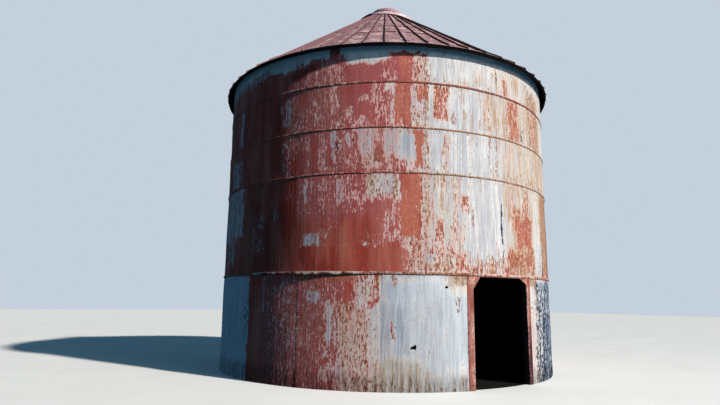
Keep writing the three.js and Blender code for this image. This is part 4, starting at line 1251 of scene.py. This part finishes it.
def at_sheet_end(points, side):
    """Turns points drawn at the sheet's end, x to the right and y inwards, into place."""
    turn = math.radians(side * DOOR_BEARING)
    cosine, sine = math.cos(turn), math.sin(turn)
    x, y, z = points[..., 0], points[..., 1] - WALL_RADIUS, points[..., 2]
    return np.stack([x * cosine - y * sine, x * sine + y * cosine, z], axis=-1)


def jamb(side):
    """A plate folded over the sheet's end and into the opening, a little bowed there."""
    edge = -side * JAMB_INTO_OPENING
    inside = -side * (JAMB_INTO_OPENING - JAMB_PLATE)
    far = side * JAMB_OVER_SHEET
    bend = side * JAMB_BEND
    outline = np.array([
        (far, JAMB_FACE), (far, JAMB_FRONT + JAMB_BEND), (far - bend, JAMB_FRONT),
        (edge + bend * 2, JAMB_FRONT), (edge, JAMB_FRONT + JAMB_BEND * 2), (edge, JAMB_DEPTH * 0.5),
        (edge, JAMB_DEPTH), (inside, JAMB_DEPTH), (inside, JAMB_DEPTH * 0.5), (inside, JAMB_FACE),
    ])
    heights = even_steps(0.0, JAMB_TOP, JAMB_STEP)
    sway = 0.0016 * drift(heights * 40, heights, 60, 0.3, 81 if side < 0 else 82)
    rings = np.zeros((len(heights), len(outline), 3))
    rings[..., :2] = outline
    rings[..., 0] += sway[:, None] * (outline[:, 1] > 0.01)
    rings[..., 2] = heights[:, None]
    return tube(at_sheet_end(rings, side))


def gusset(side, width, drop):
    """A corner plate with a slightly eaten free edge."""
    corner = -side * (JAMB_INTO_OPENING + GUSSET_GAP)
    along = np.linspace(0.0, 1.0, 13)
    eaten = 0.006 * np.sin(along * 9.0) * np.sin(np.pi * along)
    outline = [(corner, JAMB_TOP), (corner, JAMB_TOP - drop * 0.5)]
    for t, wear in zip(along, eaten):
        outline.append((corner - side * width * t, JAMB_TOP - drop * (1 - t) + wear))
    outline.append((corner - side * width * 0.5, JAMB_TOP))
    faces = (-GUSSET_GAP, -GUSSET_GAP - GUSSET_PLATE)
    rings = np.array([[(x, depth, z) for x, z in outline] for depth in faces])
    return tube(at_sheet_end(rings, side))


def jamb_bolts(side):
    heads = []
    for height in even_steps(0.16, JAMB_TOP - 0.12, JAMB_BOLT_STEP):
        centre = np.array([side * JAMB_OVER_SHEET * 0.45, JAMB_FRONT + 0.0006, height])
        normal = at_sheet_end(centre - np.array([0.0, 1.0, 0.0]), side) - at_sheet_end(centre, side)
        heads.append(bolt_head(at_sheet_end(centre, side), normal, JAMB_BOLT_SIZE))
    return heads


def build_doorway():
    """On each side a jamb, the gusset in its corner and the bolts that hold the jamb."""
    finish = frame_paint()
    for name, side in (("left", -1), ("right", 1)):
        corner = gusset(side, *GUSSET_SIZES[name])
        pieces = [
            make_piece(f"jamb_{name}", [jamb(side)], [finish], [f"door_jamb_{name}"]),
            make_piece(f"gusset_{name}", [corner], [finish], [f"door_gusset_{name}"]),
            make_piece(f"jamb_bolts_{name}", jamb_bolts(side), [finish]),
        ]
        for piece in pieces:
            paint_frame(piece, side)
    return finish


def paint_frame(piece, side):
    """Pale along the folds, rusty at the foot, painted shade inside, and darker low down on the right jamb.
    """
    points = points_of(piece)
    turn = math.radians(-side * DOOR_BEARING)
    x = points[:, 0] * math.cos(turn) - points[:, 1] * math.sin(turn)
    depth = points[:, 0] * math.sin(turn) + points[:, 1] * math.cos(turn) + WALL_RADIUS
    height = points[:, 2]
    fold = ease(1.0 - np.abs(x + side * JAMB_INTO_OPENING) / 0.012)
    rust = 0.15 + 0.35 * ease((0.35 - height) / 0.3)
    foot = ease((1.5 - height) / 0.5) * (side > 0)
    low = 0.1 + 0.05 * (side > 0) + 0.6 * foot
    # Painted shade on the faces that turn into the opening.
    dark_and_inside_shade = np.maximum(low, 1.6 * ease((depth - 0.004) / 0.02))
    write_channels(piece, "paint", [0.12 + 0.6 * fold + 0.25 * foot, rust, dark_and_inside_shade])


# Stage, light and camera

FLOOR_SIZE = 70.0
EARTH_RADIUS = 4.02
CAMERA_PLACE = Vector((-8.479, -11.744, 1.667))
CAMERA_HEADING = Vector((0.5476, 0.8368, 0.0))
CAMERA_PITCH = math.radians(10.23)
CAMERA_ROLL = math.radians(0.70)
CAMERA_LENS = 27.0
SENSOR_WIDTH = 36.0
FARTHEST_SEEN = 400.0
SUN_BEARING = math.radians(21.7)
SUN_HEIGHT = math.radians(33.0)
SUN_SOFTNESS = math.radians(2.5)
SUN_STRENGTH = 5.3
SUN_COLOUR = (1.0, 0.945, 0.87)
SKY_LIGHT = (0.26, 0.68, 1.1, 1.0)
SKY_STRENGTH = 0.166
FILL_PLACE = Vector((2.8, -15.8, 11.0))
FILL_AIM = Vector((0.0, 0.0, 5.0))
FILL_SIZE = 10.0
FILL_POWER = 620.0
FILL_COLOUR = (0.8, 0.93, 1.0)


def build_stage():
    """A pale floor that reflects nothing onto the silo, and earth inside the wall painted nearly black as
    shade.
    """
    s = FLOOR_SIZE
    floor = plain_object("floor", [(-s, -s, 0), (s, -s, 0), (s, s, 0), (-s, s, 0)], [(0, 1, 2, 3)])
    floor.data.materials.append(plain_stage("pale_floor", PALE_FLOOR, 0.9))
    floor.visible_diffuse = False
    floor.visible_glossy = False
    bearing = np.arange(0.0, 360.0, 5.0)
    disc = tube(np.array([ring_point(EARTH_RADIUS, bearing, height) for height in (-0.01, 0.003)]))
    points, quads, _ = outward(disc)
    earth = plain_object("earth", points.tolist(), quads.tolist())
    earth.data.materials.append(plain_stage("earth_painted_shade", EARTH_PAINTED_SHADE, 0.95))


def add_light(name, kind, power, colour, towards):
    """A light that shines against the direction given."""
    light = bpy.data.lights.new(name, kind)
    light.energy = power
    light.color = colour
    lamp = add_object(name, light)
    lamp.rotation_euler = towards.to_track_quat("Z", "Y").to_euler()
    return lamp


def build_light():
    """A sun, a soft panel and a blue sky. The camera alone sees a plain backdrop in place of the sky."""
    level = math.cos(SUN_HEIGHT)
    towards = Vector((math.sin(SUN_BEARING) * level, -math.cos(SUN_BEARING) * level, math.sin(SUN_HEIGHT)))
    add_light("key", "SUN", SUN_STRENGTH, SUN_COLOUR, towards).data.angle = SUN_SOFTNESS
    fill = add_light("fill", "AREA", FILL_POWER, FILL_COLOUR, FILL_PLACE - FILL_AIM)
    fill.data.size = FILL_SIZE
    fill.location = FILL_PLACE
    fill.visible_camera = False
    world = bpy.data.worlds.new("studio")
    bpy.context.scene.world = world
    world.use_nodes = True
    tree = world.node_tree
    sky = tree.nodes["Background"]
    sky.inputs["Color"].default_value = SKY_LIGHT
    sky.inputs["Strength"].default_value = SKY_STRENGTH
    backdrop = tree.nodes.new("ShaderNodeBackground")
    backdrop.inputs["Color"].default_value = BACKDROP
    seen = tree.nodes.new("ShaderNodeLightPath")
    both = tree.nodes.new("ShaderNodeMixShader")
    tree.links.new(seen.outputs["Is Camera Ray"], both.inputs[0])
    tree.links.new(sky.outputs[0], both.inputs[1])
    tree.links.new(backdrop.outputs[0], both.inputs[2])
    tree.links.new(both.outputs[0], tree.nodes["World Output"].inputs["Surface"])


def build_camera():
    forward = CAMERA_HEADING * math.cos(CAMERA_PITCH) + Vector((0, 0, math.sin(CAMERA_PITCH)))
    level = Vector((CAMERA_HEADING.y, -CAMERA_HEADING.x, 0.0))
    above = level.cross(forward)
    right = level * math.cos(CAMERA_ROLL) + above * math.sin(CAMERA_ROLL)
    up = above * math.cos(CAMERA_ROLL) - level * math.sin(CAMERA_ROLL)
    data = bpy.data.cameras.new("camera")
    data.lens = CAMERA_LENS
    data.sensor_width = SENSOR_WIDTH
    data.clip_end = FARTHEST_SEEN
    camera = add_object("camera", data)
    turn = Matrix((right, up, -forward)).transposed().to_4x4()
    camera.matrix_world = Matrix.Translation(CAMERA_PLACE) @ turn
    bpy.context.scene.camera = camera


def finish_node(name, material):
    """A node that stays as it was constructed, with a new finish."""
    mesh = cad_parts[name].data
    mesh.materials.clear()
    mesh.materials.append(material)


build_camera()
build_stage()
build_light()
wall_paint = build_wall()
build_hoops(wall_paint)
build_bolts(wall_paint)
build_roof()
build_cap()
frame_finish = build_doorway()
ring_finish = rusty_ring()
for ring in ("base_ring", "eave_ring", "peak_ring"):
    finish_node(ring, ring_finish)
finish_node("door_header", frame_finish)
bpy.context.scene.view_settings.view_transform = "Standard"
bpy.context.view_layer.update()
